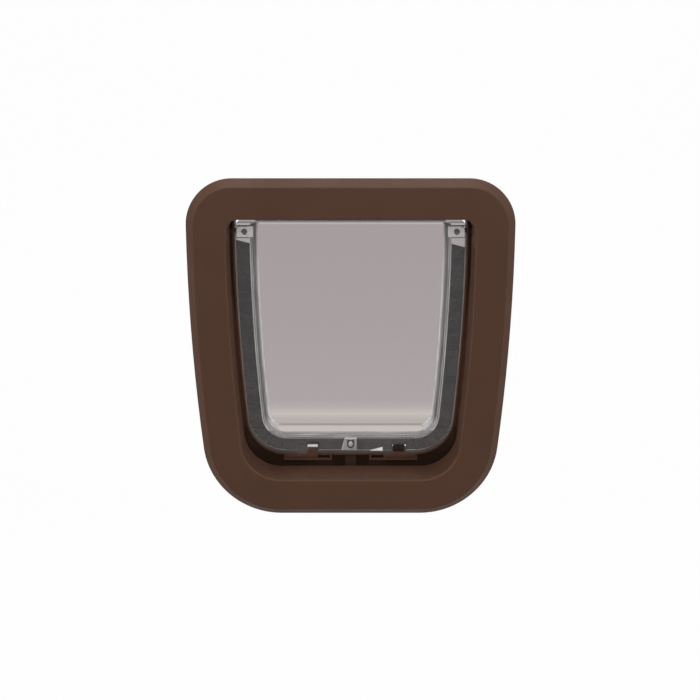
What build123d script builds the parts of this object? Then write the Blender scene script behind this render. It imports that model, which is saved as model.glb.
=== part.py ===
from build123d import *
from math import atan2, degrees, sqrt
import os

# Cat flap for a house door, in millimetres.
# Two moulded frames are pulled together through the door by four screws. A clear flap with a dished
# window hangs on two pins in the ring of the inside frame, and two slide catches at its lower edge stop
# it swinging outward or inward.
# +X is to the right seen from outside, +Y runs through the door from outside to inside, +Z is up.
# The origin is the middle of the outline, in the plane where the outside frame meets the door.

# Outline of the outside frame, which the other outlines follow
FRAME_HEIGHT = 250.0
FRAME_WIDTH = 233.0
TOP_CORNER_RADIUS = 33.0
BOTTOM_CORNER_RADIUS = 57.0
SIDE_BOW_RADIUS = 1500.0
WIDEST_HEIGHT = 83.0

# Moulded frames
INSIDE_SETBACK = 7.5
FRAME_DEPTH = 9.0
FRAME_WALL = 2.5
RIM_WIDTH = 3.0
CHAMFER_WIDTH = 5.6
CHAMFER_DEPTH = 6.5
CHAMFER_ROUND = 1.2
FACE_WIDTH = 28.2
MOUTH_ROUND = 1.3
MOUTH_TOP_RADIUS = 9.0
MOUTH_BOTTOM_RADIUS = 29.0
RIB_THICKNESS = 1.8
RIB_SETBACK = 0.6
RIB_PITCH = 46.0
DOOR_THICKNESS = 44.0

# Liner of the outside frame, which narrows as it runs back
LINER_LENGTH = 21.0
LINER_WALL = 2.0
LINER_DRAFT = 1.3
SILL_RISE = 3.9

# Sleeve of the inside frame, which lines the cut-out round the liner
SLEEVE_WALL = 2.0
SLEEVE_CLEARANCE = 0.5
SLEEVE_END_GAP = 4.0

# Ring of the inside frame, which the flap hangs in, and the web that holds it in the sleeve
RING_SETBACK = 28.0
RING_DEPTH = 17.0
RING_WALL = 1.8
RING_LIP_ROUND = 0.6
INSIDE_MOUTH_ROUND = 1.6
RING_TOP_RADIUS = 6.0
RING_SIDE_GAP = 1.2
RING_SILL_GAP = 5.9
RING_HEAD_RISE = 1.9
WEB_SETBACK = 8.0
WEB_THICKNESS = 2.0
POST_WIDTH = 8.4
POST_SETBACK = 2.0

# Flap
FLAP_SETBACK = 2.0
FLAP_SIDE_CLEARANCE = 1.0
FLAP_SILL_CLEARANCE = 1.6
FLAP_HEAD_CLEARANCE = 3.2
FLAP_WALL = 2.2
FLAP_TOP_RADIUS = 5.0
FLAP_BOTTOM_RADIUS = 28.0
FLAP_EDGE_ROUND = 0.3
FLANGE_THICKNESS = 1.5
FLANGE_WIDTH = 9.8
FLANGE_SILL_WIDTH = 8.7
FLANGE_TOP_WIDTH = 2.2
STEP_COUNT = 4
STEP_DEPTH = 3.0
STEP_SIDE_RUN = 2.3
STEP_SILL_RUN = 4.5
STEP_LEDGE = 0.6
PAN_DEPTH = 6.5
PAN_RIM_LAP = 0.6
PAN_SIDE_RUN = 2.6
PAN_SILL_RUN = 3.6
PAN_HEAD_RUN = 0.4
WINDOW_TOP_RADIUS = 3.0

# Hinge
HINGE_BELOW_TOP = 8.9
HINGE_BEHIND_FRONT = 6.2
PIN_DIAMETER = 3.0
PIN_SEAT_CLEARANCE = 0.02
PIN_RUNNING_CLEARANCE = 0.06
PIN_END_CLEARANCE = 0.3
PIN_BEARING_LENGTH = 3.6
PIN_LUG_LENGTH = 10.0
LUG_WIDTH = 12.0
LUG_SIDE_SETBACK = 0.2
LUG_RADIUS = 3.9
LUG_PROUD = 0.8
LUG_CORNER_RADIUS = 3.0
LUG_HOLE_DIAMETER = 4.4
LUG_HOLE_DEPTH = 4.0
BEARING_BOSS_DIAMETER = 9.0

# Pile seal strips behind the flange
SEAL_THICKNESS = 3.0
SEAL_EDGE_SETBACK = 0.05
SEAL_WINDOW_SETBACK = 0.3
SEAL_LEFT_DROP = 8.9
SEAL_RIGHT_DROP = 9.2
SEAL_CUT_SLOPE = 0.26
SEAL_MIDDLE_GAP = 1.0

# Magnet in the inside frame and slug in the flap
HOUSING_WIDTH = 8.8
HOUSING_HEIGHT = 9.6
HOUSING_SPLAY = 2.6
HOUSING_PROUD = 1.4
HOUSING_EDGE_ROUND = 0.4
SLUG_WIDTH = 4.8
SLUG_HEIGHT = 6.2
SLUG_THICKNESS = 1.7
SLUG_CLEARANCE = 0.2
SLUG_FLOOR = 0.75
SLUG_DOME_WIDTH = 2.4
SLUG_DOME_LENGTH = 4.1
SLUG_DOME_HEIGHT = 0.35
SLUG_TOP_MARGIN = 1.6
MAGNET_DIAMETER = 5.0
MAGNET_LENGTH = 7.0
MAGNET_CLEARANCE = 0.05
MAGNET_COVER = 1.2

# Slide catches and their pockets under the ring
CATCH_BAR_LENGTH = 23.8
CATCH_OUTER_END = 48.6
CATCH_TRAVEL = 9.0
CATCH_PLATE_THICKNESS = 1.7
CATCH_PLATE_SETBACK = 0.2
CATCH_PLATE_RISE = 0.1
CATCH_EDGE_ROUND = 0.3
CATCH_LEAF_THICKNESS = 1.3
CATCH_LEAF_LENGTH = 14.0
CATCH_CLEARANCE = 0.2
POCKET_WALL = 1.4
POCKET_REACH = 2.2
TONGUE_WIDTH = 8.8
TONGUE_THICKNESS = 2.5
TONGUE_SEAL_GAP = 1.3
FRONT_TONGUE_WIDTH = 7.6
FRONT_TONGUE_HEIGHT = 2.0
FRONT_TONGUE_ROUND = 0.4
FRONT_NOTCH_LEAD = 5.8
FRONT_NOTCH_SLOPE = 0.5
REAR_TONGUE_HEIGHT = 2.9
NOTCH_CLEARANCE = 0.6
NOTCH_HEAD_CLEARANCE = 1.5
LOCK_LUG_HEIGHT = 1.8
LOCK_LUG_PROUD = 2.3
LOCK_RAMP_LENGTH = 9.3
LOCK_RAMP_HEIGHT = 2.3

# Screws
SCREW_DIAMETER = 4.0
SCREW_MOUTH_SETBACK = 9.7
SCREW_CLEARANCE = 0.05
SCREW_HOLE_CLEARANCE = 0.3
SCREW_TIP_COVER = 1.0
SCREW_TIP_ROOM = 1.25
SCREW_HEAD_DIAMETER = 7.6
SCREW_HEAD_HEIGHT = 2.6
SCREW_HEAD_ROUND = 1.1
COUNTERBORE_CLEARANCE = 0.7
COUNTERBORE_DEPTH = 3.2
BOSS_DIAMETER = 9.0
BOSS_WALL = 1.8

# Depths that follow from the sizes above, along the way through the door
FRONT_FACE = -FRAME_DEPTH
SCREW_TIP = FRONT_FACE + FRAME_WALL + SCREW_TIP_COVER
LINER_END = FRONT_FACE + LINER_LENGTH
RING_FRONT = FRONT_FACE + RING_SETBACK
RING_BACK = RING_FRONT + RING_DEPTH
WEB_FRONT = RING_FRONT + WEB_SETBACK
FLAP_FRONT = RING_FRONT + FLAP_SETBACK
FLANGE_BACK = FLAP_FRONT + FLANGE_THICKNESS
SEAL_BACK = FLANGE_BACK + SEAL_THICKNESS
PANE_FRONT = FLAP_FRONT + PAN_DEPTH
PANE_BACK = PANE_FRONT + FLAP_WALL
HINGE_DEPTH = FLAP_FRONT + HINGE_BEHIND_FRONT
INSIDE_DOOR_FACE = DOOR_THICKNESS
BACK_FACE = INSIDE_DOOR_FACE + FRAME_DEPTH
INSIDE_WALL = BACK_FACE - FRAME_WALL

# Heights that follow from the sizes above
MOUTH_TOP = FRAME_HEIGHT / 2 - FACE_WIDTH
MOUTH_BOTTOM = -MOUTH_TOP
RING_OUTER_TOP = MOUTH_TOP - LINER_DRAFT + RING_HEAD_RISE
RING_UNDERSIDE = MOUTH_BOTTOM + SILL_RISE + RING_SILL_GAP
RING_FLOOR = RING_UNDERSIDE + RING_WALL
FLAP_TOP = RING_OUTER_TOP - RING_WALL - FLAP_HEAD_CLEARANCE
FLAP_BOTTOM = RING_FLOOR + FLAP_SILL_CLEARANCE
HINGE_HEIGHT = FLAP_TOP - HINGE_BELOW_TOP
SLOT_HEIGHT = CATCH_LEAF_THICKNESS + 2 * CATCH_CLEARANCE
SLOT_FLOOR = RING_UNDERSIDE - SLOT_HEIGHT
TONGUE_DEPTH = SEAL_BACK + TONGUE_SEAL_GAP
FRONT_TONGUE_TOP = FLAP_BOTTOM + FRONT_TONGUE_HEIGHT
REAR_TONGUE_TOP = FLAP_BOTTOM + REAR_TONGUE_HEIGHT

# Centre of the long arc that bows each side
BOW_CENTRE = FRAME_WIDTH / 2 - SIDE_BOW_RADIUS

# How far the screws, the ring and the flap lie in from the frame's outline
SCREW_INSET = FACE_WIDTH - SCREW_MOUTH_SETBACK
RING_OUTER_INSET = FACE_WIDTH + LINER_DRAFT + RING_SIDE_GAP
RING_INNER_INSET = RING_OUTER_INSET + RING_WALL
FLAP_INSET = RING_INNER_INSET + FLAP_SIDE_CLEARANCE


class Outline:
    """Tapered outline seen from the front: flat top and sill, round corners, one bowed arc on each side."""

    def __init__(self, top, bottom, inset, top_radius, bottom_radius):
        self.top = top
        self.bottom = bottom
        self.inset = inset
        self.top_radius = top_radius
        self.bottom_radius = bottom_radius
        self.side_radius = SIDE_BOW_RADIUS - inset
        self.top_centre = self.corner_centre(top - top_radius, top_radius)
        self.bottom_centre = self.corner_centre(bottom + bottom_radius, bottom_radius)

    def corner_centre(self, height, radius):
        """Centre of a corner arc that touches the right side's bow."""
        reach = self.side_radius - radius
        return BOW_CENTRE + sqrt(reach**2 - (height - WIDEST_HEIGHT) ** 2), height

    def half_width(self, height):
        """Half the width between the bowed sides at a height."""
        return BOW_CENTRE + sqrt(self.side_radius**2 - (height - WIDEST_HEIGHT) ** 2)

    def grown(self, distance):
        """The same outline moved outward by a distance, or inward if it is negative."""
        return Outline(
            self.top + distance,
            self.bottom - distance,
            self.inset - distance,
            self.top_radius + distance,
            self.bottom_radius + distance,
        )

    def face(self, depth):
        """Flat face of the outline at a depth through the door."""
        top_x, top_z = self.top_centre
        bottom_x, bottom_z = self.bottom_centre
        upper = degrees(atan2(top_z - WIDEST_HEIGHT, top_x - BOW_CENTRE))
        lower = degrees(atan2(bottom_z - WIDEST_HEIGHT, bottom_x - BOW_CENTRE))
        bow = (BOW_CENTRE, WIDEST_HEIGHT)
        bow_left = (-BOW_CENTRE, WIDEST_HEIGHT)
        edges = [
            Line((-top_x, self.top), (top_x, self.top)),
            CenterArc((top_x, top_z), self.top_radius, upper, 90 - upper),
            CenterArc(bow, self.side_radius, lower, upper - lower),
            CenterArc((bottom_x, bottom_z), self.bottom_radius, -90, lower + 90),
            Line((-bottom_x, self.bottom), (bottom_x, self.bottom)),
            CenterArc((-bottom_x, bottom_z), self.bottom_radius, 180 - lower, lower + 90),
            CenterArc(bow_left, self.side_radius, 180 - upper, upper - lower),
            CenterArc((-top_x, top_z), self.top_radius, 90, 90 - upper),
        ]
        return front_plane(depth) * make_face(edges)


def front_plane(depth):
    """Plane across the passage at a depth, with X to the right and Z up."""
    return Plane(origin=(0, depth, 0), x_dir=(1, 0, 0), z_dir=(0, -1, 0))


def prism(outline, start, end):
    """Straight solid of an outline between two depths."""
    return extrude(outline.face(start), amount=end - start, dir=(0, 1, 0))


def taper(outline_a, depth_a, outline_b, depth_b):
    """Solid that runs straight from one outline to another at two depths."""
    return loft([outline_a.face(depth_a), outline_b.face(depth_b)], ruled=True)


def block(x_range, y_range, z_range):
    """Box given by its range along each axis."""
    size = [abs(r[1] - r[0]) for r in (x_range, y_range, z_range)]
    middle = [(r[0] + r[1]) / 2 for r in (x_range, y_range, z_range)]
    return Pos(*middle) * Box(*size)


def round_bar(x, z, diameter, start, end):
    """Cylinder along the way through the door, at a place on the front."""
    bar = Cylinder(diameter / 2, abs(end - start), rotation=(90, 0, 0))
    return Pos(x, (start + end) / 2, z) * bar


def cross_bar(start, end, depth, height, diameter):
    """Cylinder along X between two places."""
    bar = Cylinder(diameter / 2, abs(end - start), rotation=(0, 90, 0))
    return Pos((start + end) / 2, depth, height) * bar


def plate(points, start, end):
    """Flat plate with straight edges, given by points on the front, between two depths."""
    face = front_plane(start) * make_face(Polyline(*points, close=True).edges())
    return extrude(face, amount=end - start, dir=(0, 1, 0))


# Outlines of the mouldings
OUTER = Outline(FRAME_HEIGHT / 2, -FRAME_HEIGHT / 2, 0, TOP_CORNER_RADIUS, BOTTOM_CORNER_RADIUS)
INSIDE_OUTER = OUTER.grown(-INSIDE_SETBACK)
MOUTH = Outline(MOUTH_TOP, MOUTH_BOTTOM, FACE_WIDTH, MOUTH_TOP_RADIUS, MOUTH_BOTTOM_RADIUS)
LINER_MOUTH = Outline(
    MOUTH_TOP - LINER_DRAFT,
    MOUTH_BOTTOM + SILL_RISE,
    FACE_WIDTH + LINER_DRAFT,
    MOUTH_TOP_RADIUS - LINER_DRAFT,
    MOUTH_BOTTOM_RADIUS - LINER_DRAFT,
)
SLEEVE_INNER = MOUTH.grown(LINER_WALL + SLEEVE_CLEARANCE)
SLEEVE_OUTER = SLEEVE_INNER.grown(SLEEVE_WALL)
FLAP = Outline(FLAP_TOP, FLAP_BOTTOM, FLAP_INSET, FLAP_TOP_RADIUS, FLAP_BOTTOM_RADIUS)
RING_INNER = Outline(
    RING_OUTER_TOP - RING_WALL,
    RING_FLOOR,
    RING_INNER_INSET,
    RING_TOP_RADIUS,
    FLAP_BOTTOM_RADIUS + FLAP_SIDE_CLEARANCE,
)
RING_OUTER = RING_INNER.grown(RING_WALL)


def window_outline(side_run, sill_run, head_run):
    """Outline inside the flap's flange, drawn in by its own run at the sides, the sill and the head."""
    return Outline(
        FLAP_TOP - FLANGE_TOP_WIDTH - head_run,
        FLAP_BOTTOM + FLANGE_SILL_WIDTH + sill_run,
        FLAP_INSET + FLANGE_WIDTH + side_run,
        WINDOW_TOP_RADIUS,
        FLAP_BOTTOM_RADIUS - FLANGE_WIDTH - side_run,
    )


def screw_points():
    """Places of the four screws, each on the slant through a corner of the frame."""
    slant = sqrt(0.5)
    top_reach = (TOP_CORNER_RADIUS - SCREW_INSET) * slant
    bottom_reach = (BOTTOM_CORNER_RADIUS - SCREW_INSET) * slant
    top_x, top_z = OUTER.top_centre
    bottom_x, bottom_z = OUTER.bottom_centre
    top = (top_x + top_reach, top_z + top_reach)
    bottom = (bottom_x + bottom_reach, bottom_z - bottom_reach)
    return [(side * x, z) for x, z in (top, bottom) for side in (-1, 1)]


def cavity(outline, face, door_face):
    """Hollow behind a frame's face, open to the door."""
    toward_door = 1 if door_face > face else -1
    floor = face + toward_door * FRAME_WALL
    rim = outline.grown(-RIM_WIDTH)
    return taper(rim, door_face, rim.grown(-CHAMFER_WIDTH), floor)


def frame_shell(outline, face, door_face, keep_clear):
    """Hollow frame moulding with a chamfered edge, and with ribs outside the solid that is to stay clear."""
    toward_door = 1 if door_face > face else -1
    edge = face + toward_door * CHAMFER_DEPTH
    body = prism(outline, door_face, edge) + taper(outline, edge, outline.grown(-CHAMFER_WIDTH), face)
    face_edges = body.faces().sort_by(Axis.Y)[0 if toward_door > 0 else -1].edges()
    body = fillet(face_edges, CHAMFER_ROUND)
    hollow = cavity(outline, face, door_face)
    return body - hollow + (ribs(face, door_face) & hollow) - keep_clear


def ribs(face, door_face):
    """Upright and level plates across the hollow, before they are trimmed to it."""
    toward_door = 1 if door_face > face else -1
    depths = (face, door_face - toward_door * RIB_SETBACK)
    half = RIB_THICKNESS / 2
    plates = Part()
    for step in (-1, 0, 1):
        place = step * RIB_PITCH
        plates += block((place - half, place + half), depths, (-FRAME_HEIGHT, FRAME_HEIGHT))
        plates += block((-FRAME_WIDTH, FRAME_WIDTH), depths, (place - half, place + half))
    return plates


def front_frame():
    """Outside frame: face, mouth and the liner that runs back into the door, with blind screw bosses."""
    liner_outside = taper(MOUTH.grown(LINER_WALL), FRONT_FACE, LINER_MOUTH.grown(LINER_WALL), LINER_END)
    passage = taper(MOUTH, FRONT_FACE, LINER_MOUTH, LINER_END)
    body = frame_shell(OUTER, FRONT_FACE, 0, liner_outside) + liner_outside - passage
    mouth_edges = body.faces().sort_by(Axis.Y)[0].inner_wires()[0].edges()
    body = fillet(mouth_edges, MOUTH_ROUND)
    floor = FRONT_FACE + FRAME_WALL
    hole = SCREW_DIAMETER + 2 * SCREW_CLEARANCE
    for x, z in screw_points():
        body += round_bar(x, z, BOSS_DIAMETER, floor, -RIB_SETBACK)
        body -= round_bar(x, z, hole, SCREW_TIP - SCREW_TIP_ROOM, 0)
    return body


def catch_span(side):
    """Ends of a catch's bar at rest, from the outer to the inner end, on one side of the middle."""
    return side * CATCH_OUTER_END, side * (CATCH_OUTER_END - CATCH_BAR_LENGTH)


def tongue_middle(side):
    """Middle of a catch's rear tongue at rest, which stands halfway along its bar."""
    return side * (CATCH_OUTER_END - CATCH_BAR_LENGTH / 2)


def pocket_span(side):
    """Ends of the room that a catch slides in, from the outer to the inner end."""
    outer, inner = catch_span(side)
    return outer + side * CATCH_CLEARANCE, inner - side * (CATCH_TRAVEL + CATCH_CLEARANCE)


def pocket_walls(side):
    """Box under the ring that holds a catch, before it is hollowed."""
    outer, inner = pocket_span(side)
    ends = (outer + side * POCKET_WALL, inner - side * POCKET_WALL)
    front = RING_FRONT - POCKET_REACH
    back = RING_FRONT + CATCH_LEAF_LENGTH + CATCH_CLEARANCE + POCKET_WALL
    walls = block(ends, (front, back), (SLOT_FLOOR - POCKET_WALL, RING_UNDERSIDE + RING_WALL / 2))
    return walls + block(ends, (front, RING_FRONT), (RING_UNDERSIDE, RING_FLOOR))


def pocket_room(side):
    """Room that a catch slides in, open at the front."""
    ends = pocket_span(side)
    front = RING_FRONT - POCKET_REACH
    back = RING_FRONT + CATCH_LEAF_LENGTH + CATCH_CLEARANCE
    room = block(ends, (front, back), (SLOT_FLOOR, RING_UNDERSIDE))
    return room + block(ends, (front, RING_FRONT), (SLOT_FLOOR, RING_FLOOR))


def tongue_slot(side):
    """Slot in the ring's floor that a catch's tongue or guide peg runs along."""
    half = TONGUE_WIDTH / 2 + CATCH_CLEARANCE
    middle = tongue_middle(side)
    span = (middle + side * half, middle - side * (half + CATCH_TRAVEL))
    depths = (TONGUE_DEPTH - CATCH_CLEARANCE, TONGUE_DEPTH + TONGUE_THICKNESS + CATCH_CLEARANCE)
    return block(span, depths, (RING_UNDERSIDE - CATCH_CLEARANCE, RING_FLOOR + CATCH_CLEARANCE))


def bearing_depth():
    """How far out from the middle each hinge pin's blind bearing hole reaches."""
    return RING_INNER.half_width(HINGE_HEIGHT) + PIN_BEARING_LENGTH


def rear_frame():
    """Inside frame: face, sleeve, the ring and web that carry the flap, catch pockets and screw holes."""
    sleeve = prism(SLEEVE_OUTER, SLEEVE_END_GAP, BACK_FACE)
    body = frame_shell(INSIDE_OUTER, BACK_FACE, INSIDE_DOOR_FACE, sleeve)
    body += sleeve - prism(SLEEVE_INNER, SLEEVE_END_GAP, BACK_FACE)
    mouth_edges = body.faces().sort_by(Axis.Y)[-1].inner_wires()[0].edges()
    body = fillet(mouth_edges, INSIDE_MOUTH_ROUND)
    body += flap_ring()
    half = POST_WIDTH / 2
    post_heights = (SLEEVE_INNER.bottom - SLEEVE_WALL / 2, RING_UNDERSIDE + RING_WALL / 2)
    body += block((-half, half), (RING_FRONT + POST_SETBACK, RING_BACK), post_heights)
    for side in (-1, 1):
        body += pocket_walls(side)
        body -= pocket_room(side)
        ring_side = side * RING_INNER.half_width(HINGE_HEIGHT)
        sleeve_side = side * (SLEEVE_INNER.half_width(HINGE_HEIGHT) + SLEEVE_WALL / 2)
        body += cross_bar(ring_side, sleeve_side, HINGE_DEPTH, HINGE_HEIGHT, BEARING_BOSS_DIAMETER)
    body -= prism(RING_INNER, RING_FRONT, RING_BACK)
    bearing = PIN_DIAMETER + 2 * PIN_RUNNING_CLEARANCE
    for side in (-1, 1):
        body -= tongue_slot(side)
        body -= cross_bar(0, side * bearing_depth(), HINGE_DEPTH, HINGE_HEIGHT, bearing)
    body -= magnet_bar(MAGNET_CLEARANCE, SLEEVE_OUTER.bottom)
    return screw_holes(body)


def flap_ring():
    """Ring that the flap hangs in, before it is opened, with the web that joins it to the sleeve."""
    ring = prism(RING_OUTER, RING_FRONT, RING_BACK)
    lips = ring.faces().sort_by(Axis.Y)
    ring = fillet(lips[0].edges() + lips[-1].edges(), RING_LIP_ROUND)
    return ring + prism(SLEEVE_INNER.grown(SLEEVE_WALL / 2), WEB_FRONT, WEB_FRONT + WEB_THICKNESS)


def screw_holes(body):
    """Bosses of the inside frame, each with a hole and a counterbore that a screw's head sinks into."""
    head_hole = SCREW_HEAD_DIAMETER + 2 * COUNTERBORE_CLEARANCE
    seat = BACK_FACE - COUNTERBORE_DEPTH
    for x, z in screw_points():
        body += round_bar(x, z, head_hole + 2 * BOSS_WALL, INSIDE_DOOR_FACE + RIB_SETBACK, INSIDE_WALL)
        body -= round_bar(x, z, head_hole, seat, BACK_FACE)
        body -= round_bar(x, z, SCREW_DIAMETER + 2 * SCREW_HOLE_CLEARANCE, INSIDE_DOOR_FACE, seat)
    return body


def magnet_bar(clearance, bottom):
    """Upright bar of the frame's magnet under the flap's slug, or its hole when there is a clearance."""
    top = RING_UNDERSIDE - MAGNET_COVER
    radius = MAGNET_DIAMETER / 2 + clearance
    middle = FLANGE_BACK + MAGNET_DIAMETER / 2
    return Pos(0, middle, (top + bottom) / 2) * Cylinder(radius, top - bottom)


def frame_magnet():
    """Magnet pushed up into the post."""
    return magnet_bar(0, RING_UNDERSIDE - MAGNET_COVER - MAGNET_LENGTH)


def frame_screws():
    """Four screws from the inside frame's counterbores into the outside frame's bosses."""
    seat = BACK_FACE - COUNTERBORE_DEPTH
    screws = []
    for x, z in screw_points():
        head = round_bar(x, z, SCREW_HEAD_DIAMETER, seat, seat + SCREW_HEAD_HEIGHT)
        head = fillet(head.edges().group_by(Axis.Y)[-1], SCREW_HEAD_ROUND)
        screws.append(head + round_bar(x, z, SCREW_DIAMETER, SCREW_TIP, seat))
    return Compound(children=screws)


def hinge_lug(side):
    """Lug in a top corner of the flap, rounded behind the pin and at its outer top corner."""
    outer = side * (FLAP.half_width(HINGE_HEIGHT) - FLAP_EDGE_ROUND - LUG_SIDE_SETBACK)
    inner = outer - side * LUG_WIDTH
    front = FLAP_FRONT - LUG_PROUD
    heights = (HINGE_HEIGHT - LUG_RADIUS, HINGE_HEIGHT + LUG_RADIUS)
    lug = block((inner, outer), (front, HINGE_DEPTH), heights)
    corner = lug.edges().filter_by(Axis.Y).sort_by(lambda edge: edge.center().Z + side * edge.center().X)[-1]
    lug = fillet(corner, LUG_CORNER_RADIUS)
    return lug + cross_bar(inner, outer, HINGE_DEPTH, HINGE_HEIGHT, 2 * LUG_RADIUS)


def pin_span(side):
    """Inner and outer end of a hinge pin."""
    inner = FLAP.half_width(HINGE_HEIGHT) - PIN_LUG_LENGTH
    return side * inner, side * (bearing_depth() - PIN_END_CLEARANCE)


def hinge_pin(side):
    """Steel pin held in a lug and turning in the ring."""
    return cross_bar(*pin_span(side), HINGE_DEPTH, HINGE_HEIGHT, PIN_DIAMETER)


def front_notch():
    """Points of the gap in the flap's edge that clears the front tongue, with one slanted side."""
    inner = catch_span(-1)[1] + NOTCH_CLEARANCE
    outer = inner - FRONT_TONGUE_WIDTH - FRONT_NOTCH_LEAD - 2 * NOTCH_CLEARANCE
    roof = FRONT_TONGUE_TOP + NOTCH_HEAD_CLEARANCE
    below = RING_FLOOR
    slant = (roof - below) * FRONT_NOTCH_SLOPE
    return [(outer - slant, below), (inner, below), (inner, roof), (outer, roof)]


def rear_notch():
    """Points of the gap in the flap's edge that clears the rear tongue."""
    half = TONGUE_WIDTH / 2 + NOTCH_CLEARANCE
    middle = tongue_middle(1)
    roof = REAR_TONGUE_TOP + NOTCH_HEAD_CLEARANCE
    left, right = middle - half, middle + half
    return [(left, RING_FLOOR), (right, RING_FLOOR), (right, roof), (left, roof)]


def lock_lug(points):
    """Lug with a level foot on the front of the flange, sloping back to the panel, given by its points."""
    left, bottom = points[0]
    right = points[1][0]
    front = FLAP_FRONT - LOCK_LUG_PROUD
    top = max(z for x, z in points)
    root = FLAP_FRONT + FLAP_EDGE_ROUND
    profile = [(front, bottom), (root, bottom), (root, top), (FLAP_FRONT, top)]
    side = Plane(origin=(left, 0, 0), x_dir=(0, 1, 0), z_dir=(1, 0, 0))
    face = side * make_face(Polyline(*profile, close=True).edges())
    wedge = extrude(face, amount=right - left, dir=(1, 0, 0))
    return wedge & plate(points, front, root)


def lock_lugs():
    """Level lug over the front notch and, right of the middle, a lug that rises toward the rear notch."""
    right = catch_span(-1)[1]
    left = right - FRONT_TONGUE_WIDTH
    bottom = FRONT_TONGUE_TOP + NOTCH_HEAD_CLEARANCE
    top = bottom + LOCK_LUG_HEIGHT
    level = lock_lug([(left, bottom), (right, bottom), (right, top), (left, top)])
    right = catch_span(1)[1] - NOTCH_CLEARANCE
    left = right - LOCK_RAMP_LENGTH
    bottom = FLAP_BOTTOM + FLAP_EDGE_ROUND
    return level + lock_lug([(left, bottom), (right, bottom), (right, bottom + LOCK_RAMP_HEIGHT)])


def housing_points():
    """Points of the slug's housing on the flap's front, splayed at its lower left."""
    half = HOUSING_WIDTH / 2
    bottom = FLAP_BOTTOM + FLAP_EDGE_ROUND
    top = bottom + HOUSING_HEIGHT
    return [(-half - HOUSING_SPLAY, bottom), (half, bottom), (half, top), (-half, top)]


def slug_bar(clearance, start, end):
    """Slug with a round lower end, or its recess when there is a clearance."""
    half = SLUG_WIDTH / 2 + clearance
    top = FLAP_BOTTOM + FLAP_EDGE_ROUND + HOUSING_HEIGHT - SLUG_TOP_MARGIN + clearance
    middle = top - clearance - SLUG_HEIGHT + SLUG_WIDTH / 2
    upper = block((-half, half), (start, end), (middle, top))
    return upper + round_bar(0, middle, 2 * half, start, end)


def flap_slug():
    """Slug that the frame's magnet pulls on, with an oval dome on its front."""
    back = FLANGE_BACK - SLUG_FLOOR
    front = back - SLUG_THICKNESS
    slug = slug_bar(0, front, back)
    middle = slug.bounding_box().center()
    dome = scale(Sphere(1), by=(SLUG_DOME_WIDTH / 2, SLUG_DOME_HEIGHT, SLUG_DOME_LENGTH / 2))
    return slug + Pos(0, front, middle.Z) * dome


def flap_panel():
    """Clear flap: flange, stepped wall and dished window in one moulding, with lugs, housing and notches."""
    flange = prism(FLAP, FLAP_FRONT, FLANGE_BACK)
    flange = fillet(flange.faces().sort_by(Axis.Y)[0].edges(), FLAP_EDGE_ROUND)
    rim = window_outline(0, 0, 0)
    ledge = window_outline(STEP_SIDE_RUN + STEP_LEDGE, STEP_SILL_RUN + STEP_LEDGE, 0)
    pane = window_outline(
        STEP_SIDE_RUN + STEP_LEDGE + PAN_SIDE_RUN,
        STEP_SILL_RUN + STEP_LEDGE + PAN_SILL_RUN,
        PAN_HEAD_RUN,
    )
    dish_rim = rim.grown(PAN_RIM_LAP)
    body = flange + taper(dish_rim, FLAP_FRONT + FLAP_EDGE_ROUND, pane.grown(FLAP_WALL), PANE_BACK)
    for step in range(STEP_COUNT):
        terrace = window_outline(STEP_SIDE_RUN * step / STEP_COUNT, STEP_SILL_RUN * step / STEP_COUNT, 0)
        body -= prism(terrace, FLAP_FRONT, FLAP_FRONT + STEP_DEPTH * (step + 1) / STEP_COUNT)
    body -= taper(ledge, FLAP_FRONT + STEP_DEPTH, pane, PANE_FRONT)
    housing = plate(housing_points(), FLAP_FRONT - HOUSING_PROUD, FLAP_FRONT + FLAP_EDGE_ROUND)
    body += fillet(housing.faces().sort_by(Axis.Y)[0].edges(), HOUSING_EDGE_ROUND)
    body -= slug_bar(SLUG_CLEARANCE, FLAP_FRONT - HOUSING_PROUD, FLANGE_BACK - SLUG_FLOOR)
    for points in (front_notch(), rear_notch()):
        body -= plate(points, FLAP_FRONT, FLANGE_BACK)
    body += lock_lugs()
    hole = PIN_DIAMETER + 2 * PIN_SEAT_CLEARANCE
    for side in (-1, 1):
        body += hinge_lug(side)
        inner, outer = pin_span(side)
        body -= cross_bar(inner, outer, HINGE_DEPTH, HINGE_HEIGHT, hole)
        x = side * (FLAP.half_width(HINGE_HEIGHT) - LUG_WIDTH / 2)
        lug_front = FLAP_FRONT - LUG_PROUD
        body -= round_bar(x, HINGE_HEIGHT, LUG_HOLE_DIAMETER, lug_front, lug_front + LUG_HOLE_DEPTH)
    return body


def seal_strip(side):
    """Pile strip behind half of the flange, cut at a slant at the top and notched over the catches."""
    inner = window_outline(-SEAL_WINDOW_SETBACK, -SEAL_WINDOW_SETBACK, 0)
    strip = prism(FLAP.grown(-SEAL_EDGE_SETBACK), FLANGE_BACK, SEAL_BACK)
    strip -= prism(inner, FLANGE_BACK, SEAL_BACK)
    start = side * SEAL_MIDDLE_GAP / 2
    outer = side * FRAME_WIDTH
    top = HINGE_HEIGHT - (SEAL_LEFT_DROP if side < 0 else SEAL_RIGHT_DROP)
    window = side * (FLAP.half_width(top) - FLANGE_WIDTH)
    half = [(start, -FRAME_HEIGHT), (start, top), (window, top)]
    half += [(outer, top - SEAL_CUT_SLOPE * (outer - window)), (outer, -FRAME_HEIGHT)]
    strip &= plate(half, FLANGE_BACK, SEAL_BACK)
    return strip - plate(front_notch() if side < 0 else rear_notch(), FLANGE_BACK, SEAL_BACK)


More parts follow.
